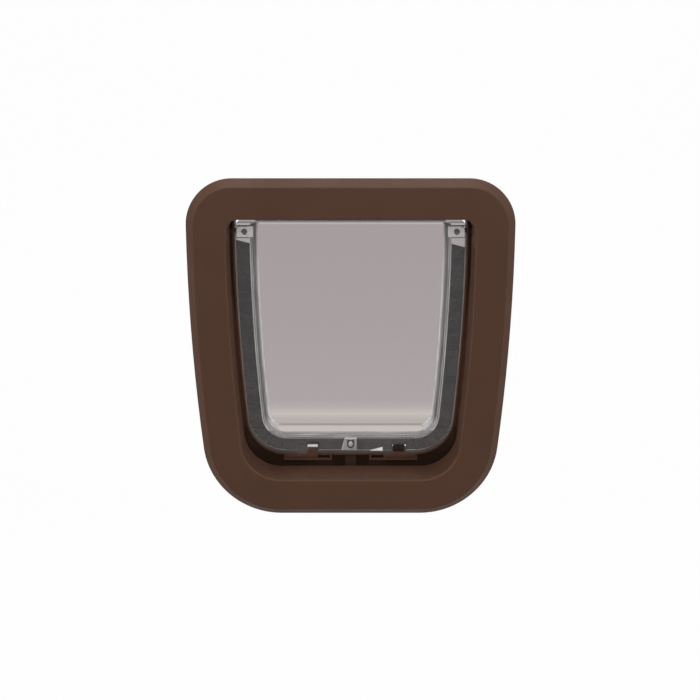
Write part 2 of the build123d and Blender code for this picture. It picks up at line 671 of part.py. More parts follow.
def catch_body(side):
    """Plate in front of the ring's lip and the leaf that slides in the pocket behind it."""
    span = catch_span(side)
    front = RING_FRONT - POCKET_REACH + CATCH_PLATE_SETBACK
    back = front + CATCH_PLATE_THICKNESS
    floor = SLOT_FLOOR + CATCH_CLEARANCE
    body = block(span, (front, back), (floor, RING_FLOOR + CATCH_PLATE_RISE))
    body = fillet(body.faces().sort_by(Axis.Y)[0].edges(), CATCH_EDGE_ROUND)
    leaf_back = RING_FRONT + CATCH_LEAF_LENGTH
    return body + block(span, (front, leaf_back), (floor, floor + CATCH_LEAF_THICKNESS))


def tongue(side, top):
    """Upright at the middle of a catch's bar, behind the flap, up to a height."""
    middle = tongue_middle(side)
    half = TONGUE_WIDTH / 2
    depths = (TONGUE_DEPTH, TONGUE_DEPTH + TONGUE_THICKNESS)
    return block((middle - half, middle + half), depths, (SLOT_FLOOR + CATCH_CLEARANCE, top))


def catch_left():
    """Catch that stops the flap swinging outward: tongue in front of the flap, low guide peg behind it."""
    front = RING_FRONT - POCKET_REACH + CATCH_PLATE_SETBACK
    right = catch_span(-1)[1]
    span = (right - FRONT_TONGUE_WIDTH, right)
    upright = block(span, (front, front + CATCH_PLATE_THICKNESS), (RING_FLOOR, FRONT_TONGUE_TOP))
    upright = fillet(upright.faces().sort_by(Axis.Z)[-1].edges(), FRONT_TONGUE_ROUND)
    return catch_body(-1) + upright + tongue(-1, RING_FLOOR)


def catch_right():
    """Catch that stops the flap swinging inward: tongue behind the flap."""
    return catch_body(1) + tongue(1, REAR_TONGUE_TOP)


PARTS = {
    "front_frame": front_frame(),
    "rear_frame": rear_frame(),
    "frame_screws": frame_screws(),
    "frame_magnet": frame_magnet(),
    "flap_panel": flap_panel(),
    "flap_slug": flap_slug(),
    "seal_strip_left": seal_strip(-1),
    "seal_strip_right": seal_strip(1),
    "hinge_pin_left": hinge_pin(-1),
    "hinge_pin_right": hinge_pin(1),
    "catch_left": catch_left(),
    "catch_right": catch_right(),
}

os.makedirs("parts", exist_ok=True)
for name, part in PARTS.items():
    export_step(part, f"parts/{name}.step")
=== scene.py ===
"""Looks of a cat flap for a house door: brown frames, clear flap, pile seals, catches and screws."""

import logging
import math
from collections.abc import Mapping
from dataclasses import dataclass, field
from enum import Enum

import bmesh
import bpy
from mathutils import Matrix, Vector


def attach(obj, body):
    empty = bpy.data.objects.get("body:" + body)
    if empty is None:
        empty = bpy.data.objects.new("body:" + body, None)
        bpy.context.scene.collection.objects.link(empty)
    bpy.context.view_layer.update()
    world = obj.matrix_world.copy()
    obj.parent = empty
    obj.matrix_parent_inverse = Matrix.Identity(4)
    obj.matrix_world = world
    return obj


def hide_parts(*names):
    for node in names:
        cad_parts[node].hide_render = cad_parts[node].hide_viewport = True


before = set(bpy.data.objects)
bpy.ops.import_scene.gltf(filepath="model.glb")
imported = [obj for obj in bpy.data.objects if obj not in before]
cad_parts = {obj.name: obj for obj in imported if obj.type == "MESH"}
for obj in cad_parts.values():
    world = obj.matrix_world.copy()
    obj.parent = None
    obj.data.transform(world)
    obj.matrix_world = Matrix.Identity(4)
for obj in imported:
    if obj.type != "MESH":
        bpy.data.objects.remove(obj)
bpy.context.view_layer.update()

LOG = logging.getLogger("cat_flap")
MM = 0.001

Socket = bpy.types.NodeSocket
Colour = tuple[float, float, float, float]
Point = tuple[float, float, float]
Span = tuple[float, float]
Stops = tuple[tuple[float, Colour], ...]

UNIT: Span = (0.0, 1.0)
FALLING: Span = (1.0, 0.0)
WHITE: Colour = (1.0, 1.0, 1.0, 1.0)
CLEAR_IOR = 1.49
LAMP_TINT: Colour = (0.80, 0.78, 0.78, 1.0)


class Body(Enum):
    """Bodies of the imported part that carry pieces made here."""

    FRAMES = "frames"
    FLAP = "flap"


class Slot(Enum):
    """Names for material slots of the pieces made here, which nothing in the script uses."""

    PILE = "seal_pile"
    SCREW = "screw_steel"


class Side(Enum):
    """The two sides of the flap, seen from outside."""

    LEFT = "left"
    RIGHT = "right"


def grey(tone: float) -> Colour:
    """Gives the opaque grey of a tone from 0 to 1."""
    return (tone, tone, tone, 1.0)


def give_sockets(tree: bpy.types.NodeTree, inputs: Mapping[str, str], outputs: Mapping[str, str]) -> None:
    """Gives a node group its sockets.

    Args:
        tree: The node group.
        inputs: Socket type of each named input.
        outputs: Socket type of each named output.
    """
    for direction, sockets in (("INPUT", inputs), ("OUTPUT", outputs)):
        for label, kind in sockets.items():
            tree.interface.new_socket(name=label, in_out=direction, socket_type=kind)


class NodeSheet:
    """Adds nodes to one tree and wires their sockets."""

    def __init__(self, tree: bpy.types.NodeTree) -> None:
        """Keeps the shader or geometry node tree that the nodes go to."""
        self.tree = tree

    def wire(self, node: bpy.types.Node, inputs: Mapping[str | int, object]) -> None:
        """Sets inputs of a node.

        Args:
            node: Node of the tree.
            inputs: Value or output socket for each named or numbered input.
        """
        for key, value in inputs.items():
            if isinstance(value, Socket):
                self.tree.links.new(value, node.inputs[key])
            else:
                node.inputs[key].default_value = value

    def add(
        self, kind: str, inputs: Mapping[str | int, object] | None = None, **settings: object
    ) -> bpy.types.Node:
        """Adds one node.

        Args:
            kind: Blender's name of the node type.
            inputs: Value or output socket for each named or numbered input.
            **settings: Values of the node's own properties.

        Returns:
            The new node.
        """
        made = self.tree.nodes.new(kind)
        for name, value in settings.items():
            setattr(made, name, value)
        self.wire(made, inputs or {})
        return made

    def blend(self, share: Socket, low: Colour, high: Colour) -> Socket:
        """Mixes two colours, the first at a share of 0 and the second at 1."""
        return self.add("ShaderNodeMix", {0: share, 6: low, 7: high}, data_type="RGBA").outputs[2]

    def scaled(self, colour: Socket, factor: Socket) -> Socket:
        """Multiplies a colour by a grey factor."""
        return self.add("ShaderNodeVectorMath", {0: colour, 1: factor}, operation="MULTIPLY").outputs[0]

    def math(self, operation: str, *values: float | Socket) -> Socket:
        """Adds an operation on sockets or numbers."""
        return self.add("ShaderNodeMath", dict(enumerate(values)), operation=operation).outputs[0]

    def parts(self, vector: Socket) -> tuple[Socket, Socket, Socket]:
        """Splits a vector into its three values."""
        return tuple(self.add("ShaderNodeSeparateXYZ", {0: vector}).outputs)

    def in_mm(self, coordinate: Socket) -> Socket:
        """Turns a coordinate in metres into one in millimetres."""
        inputs = {0: coordinate, "Scale": 1.0 / MM}
        return self.add("ShaderNodeVectorMath", inputs, operation="SCALE").outputs[0]

    def noise(self, vector: Socket, inputs: Mapping[str, object]) -> Socket:
        """Adds noise at a coordinate, with its other inputs by name."""
        return self.add("ShaderNodeTexNoise", {"Vector": vector, **inputs}).outputs[0]

    def bump(self, height: Socket, strength: float, depth: float) -> Socket:
        """Adds the normal of a bumpy surface."""
        inputs = {"Height": height, "Strength": strength, "Distance": depth}
        return self.add("ShaderNodeBump", inputs).outputs[0]

    def product(self, *factors: Socket) -> Socket:
        """Multiplies values.

        Args:
            *factors: Sockets of the values.

        Returns:
            Socket of the product.
        """
        result = factors[0]
        for factor in factors[1:]:
            result = self.math("MULTIPLY", result, factor)
        return result

    def span(self, value: Socket, source: Span = UNIT, target: Span = UNIT) -> Socket:
        """Maps a value from one range to another, clamped.

        Args:
            value: Socket of the value.
            source: First and last value that come in.
            target: Values that go out at those two.

        Returns:
            Socket of the mapped value.
        """
        ranges = {"From Min": source[0], "From Max": source[1], "To Min": target[0], "To Max": target[1]}
        return self.add("ShaderNodeMapRange", {"Value": value, **ranges}).outputs[0]

    def within(self, value: Socket, limits: Span, edge: float) -> Socket:
        """Masks a range of values.

        Args:
            value: Socket of the value.
            limits: Values past which the mask rises and past which it falls.
            edge: How far past each of them the change goes on.

        Returns:
            Socket that is 1 in the range and 0 outside it.
        """
        low, high = limits
        risen = self.span(value, (low, low + edge))
        return self.product(risen, self.span(value, (high, high + edge), FALLING))

    def ramp(self, value: Socket, stops: Stops) -> Socket:
        """Adds a colour that changes with a value.

        Args:
            value: Socket of the value.
            stops: Value and colour of each stop, from the lowest to the highest.

        Returns:
            Socket of the colour.
        """
        first, last = stops[0][0], stops[-1][0]
        node = self.add("ShaderNodeValToRGB", {0: self.span(value, (first, last))})
        marks = node.color_ramp.elements
        while len(marks) < len(stops):
            marks.new(1.0)
        for mark, (at, colour) in zip(marks, stops):
            mark.position = (at - first) / (last - first)
            mark.color = colour
        return node.outputs[0]

    def show(self, share: Socket, first: Socket, second: Socket, output: str) -> None:
        """Shows a mix of two shaders.

        Args:
            share: Socket of the second shader's share.
            first: Socket of the first shader.
            second: Socket of the second shader.
            output: Name of the tree's output node.
        """
        mixed = self.add("ShaderNodeMixShader", {0: share, 1: first, 2: second})
        self.wire(self.tree.nodes[output], {"Surface": mixed.outputs[0]})


class ShaderGroups:
    """Shader node groups that several finishes share, each built once."""

    drift_per_mm: float = 0.021
    drift_range: Span = (0.3, 0.7)
    smear_range: Span = (0.42, 0.72)

    def __init__(self) -> None:
        """Starts with no group built."""
        self.built: dict[str, bpy.types.NodeTree] = {}

    def start(self, name: str, scale: str, outputs: tuple[str, ...]) -> tuple[NodeSheet, Socket, Socket]:
        """Makes an empty group that takes a coordinate and a scale.

        Args:
            name: Name of the group.
            scale: Name of its scale.
            outputs: Names of its value outputs.

        Returns:
            The group's sheet, its coordinate in millimetres and its scale.
        """
        tree = bpy.data.node_groups.new(name, "ShaderNodeTree")
        inputs = {"Coordinate": "NodeSocketVector", scale: "NodeSocketFloat"}
        give_sockets(tree, inputs, dict.fromkeys(outputs, "NodeSocketFloat"))
        self.built[name] = tree
        sheet = NodeSheet(tree)
        given = sheet.add("NodeGroupInput").outputs
        return sheet, sheet.in_mm(given["Coordinate"]), given[scale]

    def mould_grain(self) -> bpy.types.NodeTree:
        """Fine spark-eroded grain and slow colour drift of a moulded surface.

        Returns:
            Group with the outputs Height and Drift.
        """
        name = "mould_grain"
        if name not in self.built:
            sheet, place_at, scale = self.start(name, "Grain per mm", ("Height", "Drift"))
            height = sheet.noise(place_at, {"Scale": scale, "Detail": 3.0, "Roughness": 0.62})
            drift = sheet.noise(place_at, {"Scale": self.drift_per_mm, "Detail": 4.0})
            eased = sheet.span(drift, self.drift_range)
            sheet.add("NodeGroupOutput", {"Height": height, "Drift": eased})
        return self.built[name]

    def handling_marks(self) -> bpy.types.NodeTree:
        """Smears left by handling.

        Returns:
            Group with the output Smear.
        """
        name = "handling_marks"
        if name not in self.built:
            sheet, place_at, scale = self.start(name, "Smear per mm", ("Smear",))
            smear = sheet.noise(place_at, {"Scale": scale, "Detail": 5.0, "Distortion": 0.8})
            sheet.add("NodeGroupOutput", {"Smear": sheet.span(smear, self.smear_range)})
        return self.built[name]


GROUPS = ShaderGroups()


@dataclass(frozen=True)
class Finish:
    """Surface finish with a name, which builds its material once it is asked to."""

    name: str

    def sheet(self) -> tuple[bpy.types.Material, NodeSheet, bpy.types.Node, Socket]:
        """Starts the material.

        Returns:
            Material, its sheet, its Principled shader and the Object coordinates.
        """
        material = bpy.data.materials.new(self.name)
        material.use_nodes = True
        sheet = NodeSheet(material.node_tree)
        shader = material.node_tree.nodes["Principled BSDF"]
        coordinate = sheet.add("ShaderNodeTexCoord").outputs["Object"]
        return material, sheet, shader, coordinate

    def smear(self, sheet: NodeSheet, coordinate: Socket, per_mm: float) -> Socket:
        """Places the handling marks in the material."""
        inputs = {"Coordinate": coordinate, "Smear per mm": per_mm}
        return sheet.add("ShaderNodeGroup", inputs, node_tree=GROUPS.handling_marks()).outputs["Smear"]

    def streaks(self, sheet: NodeSheet, coordinate: Socket, per_mm: Point) -> Socket:
        """Places noise in the material, drawn out along the axes.

        Args:
            sheet: Sheet of the material.
            coordinate: Object coordinates.
            per_mm: Changes in a millimetre along each axis.

        Returns:
            Socket of the noise.
        """
        scale = [count / MM for count in per_mm]
        drawn = sheet.add("ShaderNodeMapping", {"Vector": coordinate, "Scale": scale})
        return sheet.noise(drawn.outputs[0], {"Scale": 1.0, "Detail": 3.0})


@dataclass(frozen=True)
class MouldedPlastic(Finish):
    """Satin moulded plastic with a fine grain."""

    deep: Colour
    pale: Colour
    roughness: Span = (0.50, 0.60)
    specular: float = 0.12
    grain_per_mm: float = 2.4
    grain_depth: float = 0.012 * MM
    grain_strength: float = 0.6
    smear_per_mm: float = 0.03

    def material(self) -> bpy.types.Material:
        """Builds the plastic.

        Returns:
            The new material.
        """
        material, sheet, shader, coordinate = self.sheet()
        inputs = {"Coordinate": coordinate, "Grain per mm": self.grain_per_mm}
        grain = sheet.add("ShaderNodeGroup", inputs, node_tree=GROUPS.mould_grain()).outputs
        colour = sheet.blend(grain["Drift"], self.deep, self.pale)
        smear = self.smear(sheet, coordinate, self.smear_per_mm)
        looks = {
            "Base Color": self.shaded(sheet, coordinate, colour),
            "Roughness": sheet.span(smear, target=self.roughness),
            "Normal": sheet.bump(grain["Height"], self.grain_strength, self.grain_depth),
            "Specular IOR Level": self.specular,
        }
        sheet.wire(shader, looks)
        return material

    def shaded(self, sheet: NodeSheet, coordinate: Socket, colour: Socket) -> Socket:
        """Leaves the colour as it is, for subclasses to shade it by place."""
        return colour


@dataclass(frozen=True)
class RimPlastic(MouldedPlastic):
    """Moulded plastic that is paler along the round of the mouth's edge, a painted highlight."""

    rim: Span = (-8.95 * MM, -7.95 * MM)
    reach_across: float = 95.0 * MM
    reach_up: float = 103.0 * MM
    edge: float = 0.2 * MM
    # Factor of the painted highlight along the mouth's edge
    rim_highlight: float = 1.4

    def shaded(self, sheet: NodeSheet, coordinate: Socket, colour: Socket) -> Socket:
        """Lightens the colour along the mouth's edge, as a painted highlight.

        Args:
            sheet: Sheet of the material.
            coordinate: Object coordinates.
            colour: Socket of the colour.

        Returns:
            Socket of the shaded colour.
        """
        x, y, z = sheet.parts(coordinate)
        masks = [sheet.within(y, self.rim, self.edge)]
        for value, reach in ((x, self.reach_across), (z, self.reach_up)):
            off_middle = sheet.math("ABSOLUTE", value)
            masks.append(sheet.span(off_middle, (reach, reach + self.edge), FALLING))
        return sheet.scaled(colour, sheet.span(sheet.product(*masks), target=(1.0, self.rim_highlight)))


@dataclass(frozen=True)
class RecessPlastic(MouldedPlastic):
    """Moulded plastic, darker in the deep recess under the flap's ring as painted shade and paler in the slot
    beside it as painted light.
    """

    recess_drop: Span = (-76.0 * MM, -88.0 * MM)
    recess_depth: Span = (19.6 * MM, 38.0 * MM)
    edge: float = 0.4 * MM
    # Factor of the painted shade in the recess under the ring
    recess_shade: float = 0.52
    slot_depth: Span = (20.6 * MM, 36.0 * MM)
    slot_across: float = 83.9 * MM
    slot_taper: float = 0.0767
    slot_foot: Span = (-70.0 * MM, -58.0 * MM)
    slot_turn: Span = (0.1, 0.3)
    # Factor of the painted light in the slot beside the ring
    slot_light_gain: float = 3.0

    def shaded(self, sheet: NodeSheet, coordinate: Socket, colour: Socket) -> Socket:
        """Darkens the colour in the recess with painted shade and lightens it in the slot with painted light.

        Args:
            sheet: Sheet of the material.
            coordinate: Object coordinates.
            colour: Socket of the colour.

        Returns:
            Socket of the shaded colour.
        """
        _, y, z = sheet.parts(coordinate)
        below = sheet.span(z, self.recess_drop)
        share = sheet.product(below, sheet.within(y, self.recess_depth, self.edge))
        recess_shade = sheet.scaled(colour, sheet.span(share, target=(1.0, self.recess_shade)))
        return sheet.scaled(recess_shade, self.slot_light(sheet, coordinate))

    def slot_light(self, sheet: NodeSheet, coordinate: Socket) -> Socket:
        """Painted light in the narrow slot between the ring and the liner, on faces that turn inward.

        Args:
            sheet: Sheet of the material.
            coordinate: Object coordinates.

        Returns:
            Socket of the factor on the colour.
        """
        x, y, z = sheet.parts(coordinate)
        tapered = sheet.math("MULTIPLY", z, self.slot_taper)
        outward = sheet.math("SUBTRACT", sheet.math("ABSOLUTE", x), tapered)
        beside = sheet.span(outward, (self.slot_across, self.slot_across + self.edge))
        normal = sheet.add("ShaderNodeTexCoord").outputs["Normal"]
        turned_out = sheet.product(sheet.parts(normal)[0], sheet.math("SIGN", x))
        turned_in = sheet.span(turned_out, self.slot_turn, FALLING)
        inside = sheet.within(y, self.slot_depth, self.edge)
        share = sheet.product(beside, inside, sheet.span(z, self.slot_foot), turned_in)
        return sheet.span(share, target=(1.0, self.slot_light_gain))


@dataclass(frozen=True)
class SlidePlastic(MouldedPlastic):
    """Moulded plastic of the catches, with painted shade along the edges of the sliding leaf."""

    leaf: Span = (-88.5 * MM, -87.2 * MM)
    edge: float = 0.4 * MM
    # Factor of the painted shade in the gaps at the leaf's edges
    gap_shade: float = 0.3

    def shaded(self, sheet: NodeSheet, coordinate: Socket, colour: Socket) -> Socket:
        """Darkens the colour at the leaf's edges with painted shade.

        Args:
            sheet: Sheet of the material.
            coordinate: Object coordinates.
            colour: Socket of the colour.

        Returns:
            Socket of the shaded colour.
        """
        low, high = self.leaf
        dark = grey(self.gap_shade)
        stops = (
            (low, dark),
            (low + self.edge, WHITE),
            (high - self.edge, WHITE),
            (high, dark),
            (high + self.edge, WHITE),
        )
        return sheet.scaled(colour, sheet.ramp(sheet.parts(coordinate)[2], stops))


@dataclass(frozen=True)
class LitPlastic(Finish):
    """Plastic that lets light through, and passes the lamps' light on to what lies behind it."""

    def passing(self, sheet: NodeSheet, shader: bpy.types.Node) -> None:
        """Lets the lamps' light pass through the material.

        Args:
            sheet: Sheet of the material.
            shader: Its Principled shader.
        """
        lamp = sheet.add("ShaderNodeBsdfTransparent", {"Color": LAMP_TINT})
        shadow = sheet.add("ShaderNodeLightPath").outputs["Is Shadow Ray"]
        sheet.show(shadow, shader.outputs[0], lamp.outputs[0], "Material Output")


@dataclass(frozen=True)
class ClearPlastic(LitPlastic):
    """Lightly smoked clear plastic whose tint changes with the height as painted light and shade, with
    painted shade lines along some outlines.
    """

    tints_and_painted_light: Stops
    outlined: tuple[tuple[Span, Span], ...]
    # Painted shade lines round the outlined boxes: their width, start, full width and share of the tint
    line: float = 1.1 * MM
    line_start: float = 0.22 * MM
    line_full: float = 0.77 * MM
    line_share: float = 0.25
    smear_per_mm: float = 0.02
    roughness: Span = (0.02, 0.06)

    def tint(self, sheet: NodeSheet, coordinate: Socket) -> Socket:
        """Wires the tint at each place, with its painted light and shade.

        Args:
            sheet: Sheet of the material.
            coordinate: Object coordinates.

        Returns:
            Socket of the tint.
        """
        x, _, z = sheet.parts(coordinate)
        tint = sheet.ramp(z, self.tints_and_painted_light)
        dark = grey(self.line_share)
        stops = ((-self.line_start, WHITE), (0.0, dark), (self.line_full, dark), (self.line, WHITE))
        for box in self.outlined:
            beyond = []
            for value, (low, high) in zip((x, z), box):
                apart = sheet.math("ABSOLUTE", sheet.math("SUBTRACT", value, (low + high) / 2))
                beyond.append(sheet.math("SUBTRACT", apart, (high - low) / 2))
            tint = sheet.scaled(tint, sheet.ramp(sheet.math("MAXIMUM", *beyond), stops))
        return tint

    def material(self) -> bpy.types.Material:
        """Builds the plastic.

        Returns:
            The new material.
        """
        material, sheet, shader, coordinate = self.sheet()
        smear = self.smear(sheet, coordinate, self.smear_per_mm)
        looks = {
            "Base Color": self.tint(sheet, coordinate),
            "Roughness": sheet.span(smear, target=self.roughness),
            "IOR": CLEAR_IOR,
            "Transmission Weight": 1.0,
        }
        sheet.wire(shader, looks)
        self.passing(sheet, shader)
        return material


@dataclass(frozen=True)
class MilkyPlastic(LitPlastic):
    """Clear plastic whose small steps or mould texture scatter much of the light, with drawn streaks.

    Attributes:
        clear_share: Share of the light that goes straight through.
        tones: Factor on the colour at each depth, painted light and shade lines along the steps, if it
            changes with the depth.
        paler: Heights between which the least factor rises from nothing to least_tone, painted light towards
            the window's foot.
    """

    deep: Colour
    pale: Colour
    clear_share: float
    streaks_per_mm: Point
    streak_range: Span = (0.36, 0.64)
    tones: tuple[Span, ...] = ()
    paler: Span | None = None
    least_tone: float = 0.85
    roughness: float = 0.45

    def tone(self, sheet: NodeSheet, coordinate: Socket) -> Socket:
        """Wires the factor of the painted light and shade lines at each place.

        Args:
            sheet: Sheet of the material.
            coordinate: Object coordinates.

        Returns:
            Socket of the factor.
        """
        _, y, z = sheet.parts(coordinate)
        tone = sheet.ramp(y, tuple((at, grey(share)) for at, share in self.tones))
        if self.paler:
            tone = sheet.math("MAXIMUM", tone, sheet.span(z, self.paler, (0.0, self.least_tone)))
        return tone

    def material(self) -> bpy.types.Material:
        """Builds the plastic.

        Returns:
            The new material.
        """
        material, sheet, shader, coordinate = self.sheet()
        streaks = self.streaks(sheet, coordinate, self.streaks_per_mm)
        colour = sheet.blend(sheet.span(streaks, self.streak_range), self.deep, self.pale)
        if self.tones:
            colour = sheet.scaled(colour, self.tone(sheet, coordinate))
        looks = {
            "Base Color": colour,
            "Roughness": self.roughness,
            "IOR": CLEAR_IOR,
            "Transmission Weight": self.clear_share,
        }
        sheet.wire(shader, looks)
        self.passing(sheet, shader)
        return material


@dataclass(frozen=True)
class HighlightEdge(Finish):
    """Edge of clear plastic whitened as a painted highlight, and dark from a slit's height up as painted
    shade.
    """

    deep: Colour
    pale: Colour
    slit_height: float | None = None
    slit_edge: float = 0.3 * MM
    slit_shade: Colour = (0.06, 0.06, 0.06, 1.0)
    smear_per_mm: float = 0.4
    roughness: float = 0.55

    def material(self) -> bpy.types.Material:
        """Builds the painted highlight.

        Returns:
            The new material.
        """
        material, sheet, shader, coordinate = self.sheet()
        smear = self.smear(sheet, coordinate, self.smear_per_mm)
        colour = sheet.blend(smear, self.deep, self.pale)
        if self.slit_height is not None:
            stops = ((self.slit_height - self.slit_edge, WHITE), (self.slit_height, self.slit_shade))
            colour = sheet.scaled(colour, sheet.ramp(sheet.parts(coordinate)[2], stops))
        sheet.wire(shader, {"Base Color": colour, "Roughness": self.roughness})
        return material


@dataclass(frozen=True)
class PileYarn(Finish):
    """Dark pile yarn, paler at some fibres than at others."""

    deep: Colour
    pale: Colour
    tufts_per_mm: float = 0.55
    tuft_range: Span = (0.35, 0.65)
    tuft_strength: float = 0.4
    tuft_depth: float = 0.08 * MM
    roughness: float = 0.92
    sheen: float = 0.25
    sheen_roughness: float = 0.5

    def material(self) -> bpy.types.Material:
        """Builds the yarn.

        Returns:
            The new material.
        """
        material, sheet, shader, coordinate = self.sheet()
        tufts = sheet.noise(sheet.in_mm(coordinate), {"Scale": self.tufts_per_mm, "Detail": 6.0})
        looks = {
            "Base Color": sheet.blend(sheet.span(tufts, self.tuft_range), self.deep, self.pale),
            "Normal": sheet.bump(tufts, self.tuft_strength, self.tuft_depth),
            "Roughness": self.roughness,
            "Sheen Weight": self.sheen,
            "Sheen Roughness": self.sheen_roughness,
        }
        sheet.wire(shader, looks)
        return material


@dataclass(frozen=True)
class DomedSteel(Finish):
    """Dull steel slug, pale on its oval dome as a painted highlight and dark round it as painted shade."""

    # Painted shade round the dome
    rim: Colour
    # Painted highlight on the dome
    dome: Colour
    middle: Point
    half_width: float
    half_height: float
    dome_edge: Span = (0.55, 0.85)
    smear_per_mm: float = 0.3
    roughness: Span = (0.42, 0.55)
    metallic: float = 0.6

    def material(self) -> bpy.types.Material:
        """Builds the steel.

        Returns:
            The new material.
        """
        material, sheet, shader, coordinate = self.sheet()
        offset = sheet.add("ShaderNodeVectorMath", {0: coordinate, 1: self.middle}, operation="SUBTRACT")
        scale = (1.0 / self.half_width, 0.0, 1.0 / self.half_height)
        oval = sheet.add("ShaderNodeVectorMath", {0: offset.outputs[0], 1: scale}, operation="MULTIPLY")
        reach = sheet.add("ShaderNodeVectorMath", {0: oval.outputs[0]}, operation="LENGTH").outputs["Value"]
        smear = self.smear(sheet, coordinate, self.smear_per_mm)
        looks = {
            "Base Color": sheet.blend(sheet.span(reach, self.dome_edge, FALLING), self.rim, self.dome),
            "Roughness": sheet.span(smear, target=self.roughness),
            "Metallic": self.metallic,
        }
        sheet.wire(shader, looks)
        return material


@dataclass(frozen=True)
class PlatedSteel(Finish):
    """Dull plated steel with drawn lines along one axis."""

    deep: Colour
    pale: Colour
    lines_per_mm: Point
    line_strength: float = 0.3
    line_depth: float = 0.01 * MM
    smear_per_mm: float = 0.3
    roughness: Span = (0.28, 0.46)

    def material(self) -> bpy.types.Material:
        """Builds the steel.

        Returns:
            The new material.
        """
        material, sheet, shader, coordinate = self.sheet()
        lines = self.streaks(sheet, coordinate, self.lines_per_mm)
        smear = self.smear(sheet, coordinate, self.smear_per_mm)
        looks = {
            "Base Color": sheet.blend(lines, self.deep, self.pale),
            "Roughness": sheet.span(smear, target=self.roughness),
            "Normal": sheet.bump(lines, self.line_strength, self.line_depth),
            "Metallic": 1.0,
        }
        sheet.wire(shader, looks)
        return material


DEEP_BROWN: Colour = (0.0565, 0.0259, 0.0151, 1.0)
PALE_BROWN: Colour = (0.0618, 0.0288, 0.0170, 1.0)
BROWN = RimPlastic("brown_moulding", DEEP_BROWN, PALE_BROWN)
INNER_BROWN = RecessPlastic("inner_moulding", DEEP_BROWN, PALE_BROWN)
CATCH_BROWN = SlidePlastic("catch_moulding", (0.0583, 0.0273, 0.0162, 1.0), (0.0645, 0.0304, 0.0181, 1.0))
SMOKED = ClearPlastic(
    "smoked_clear",
    tints_and_painted_light=(
        # Painted shade: dark line along the foot of the window
        (-67.0 * MM, (0.565, 0.52, 0.50, 1.0)),
        (-66.2 * MM, (0.44, 0.40, 0.38, 1.0)),
        (-65.5 * MM, (0.225, 0.195, 0.184, 1.0)),
        (-64.4 * MM, (0.445, 0.405, 0.382, 1.0)),
        # Painted light: pale band above it
        (-61.0 * MM, (0.460, 0.416, 0.400, 1.0)),
        (-57.0 * MM, (0.545, 0.505, 0.480, 1.0)),
        (-52.0 * MM, (0.445, 0.401, 0.387, 1.0)),
        # Window up to the head, painted a little darker towards the top
        (-46.0 * MM, (0.394, 0.352, 0.352, 1.0)),
        (5.0 * MM, (0.374, 0.329, 0.334, 1.0)),
        (87.6 * MM, (0.357, 0.314, 0.318, 1.0)),
        # Painted highlight and painted shade: pale and dark lines of the head's rim
        (88.3 * MM, (0.49, 0.455, 0.455, 1.0)),
        (89.1 * MM, (0.46, 0.43, 0.43, 1.0)),
        (89.7 * MM, (0.17, 0.16, 0.16, 1.0)),
        (90.7 * MM, (0.17, 0.16, 0.16, 1.0)),
        (91.3 * MM, (0.36, 0.335, 0.335, 1.0)),
        (92.4 * MM, (0.38, 0.35, 0.35, 1.0)),
    ),
    # Boxes with painted shade lines round them
    outlined=(
        # The two hinge lugs
        ((-83.0 * MM, -71.0 * MM), (79.6 * MM, 87.4 * MM)),
        ((71.0 * MM, 83.0 * MM), (79.6 * MM, 87.4 * MM)),
        # The rear notch
        ((32.0 * MM, 41.4 * MM), (-85.0 * MM, -79.2 * MM)),
        # The front lock lug
        ((-32.4 * MM, -24.8 * MM), (-81.0 * MM, -78.0 * MM)),
    ),
)
SIDE_STEPS = MilkyPlastic(
    "side_steps",
    deep=(0.42, 0.40, 0.395, 1.0),
    pale=(0.66, 0.64, 0.635, 1.0),
    clear_share=0.3,
    streaks_per_mm=(1.0, 1.0, 0.05),
    # Painted light and shade lines along the steps, by depth
    tones=(
        (21.75 * MM, 1.0),
        (22.50 * MM, 0.42),
        (23.25 * MM, 0.92),
        (24.00 * MM, 0.30),
        (25.30 * MM, 0.42),
        (26.40 * MM, 0.95),
        (27.50 * MM, 1.0),
    ),
    # Painted light: the dark lines fade towards the window's foot
    paler=(-52.0 * MM, -66.0 * MM),
)
SILL_STEPS = MilkyPlastic(
    "sill_steps",
    deep=(0.24, 0.23, 0.228, 1.0),
    pale=(0.44, 0.427, 0.423, 1.0),
    clear_share=0.3,
    streaks_per_mm=(0.05, 1.0, 1.0),
    # Painted light and shade lines along the steps, by depth
    tones=((21.75 * MM, 0.45), (22.50 * MM, 0.85), (23.25 * MM, 1.0), (24.00 * MM, 0.90)),
)
# Painted light: the clear lugs' fronts are pale and milky to stand in for light through them
LUG_FACE = MilkyPlastic(
    "lug_face",
    (0.65, 0.62, 0.62, 1.0),
    (0.79, 0.76, 0.76, 1.0),
    clear_share=0.1,
    streaks_per_mm=(0.6, 1.0, 0.6),
)
HOUSING_FACE = MilkyPlastic(
    "housing_face",
    (0.24, 0.23, 0.228, 1.0),
    (0.36, 0.345, 0.34, 1.0),
    clear_share=0.2,
    streaks_per_mm=(1.0, 1.0, 0.1),
)
SHADED = MilkyPlastic(
    "shaded_edge",
    (0.03, 0.028, 0.028, 1.0),
    (0.07, 0.066, 0.065, 1.0),
    clear_share=0.5,
    streaks_per_mm=(0.6, 0.6, 0.6),
)
# Painted highlight along the flap's lower edge, corners and the housing's sides
GROUND = HighlightEdge("edge_highlight", (0.60, 0.585, 0.57, 1.0), (0.82, 0.81, 0.795, 1.0))
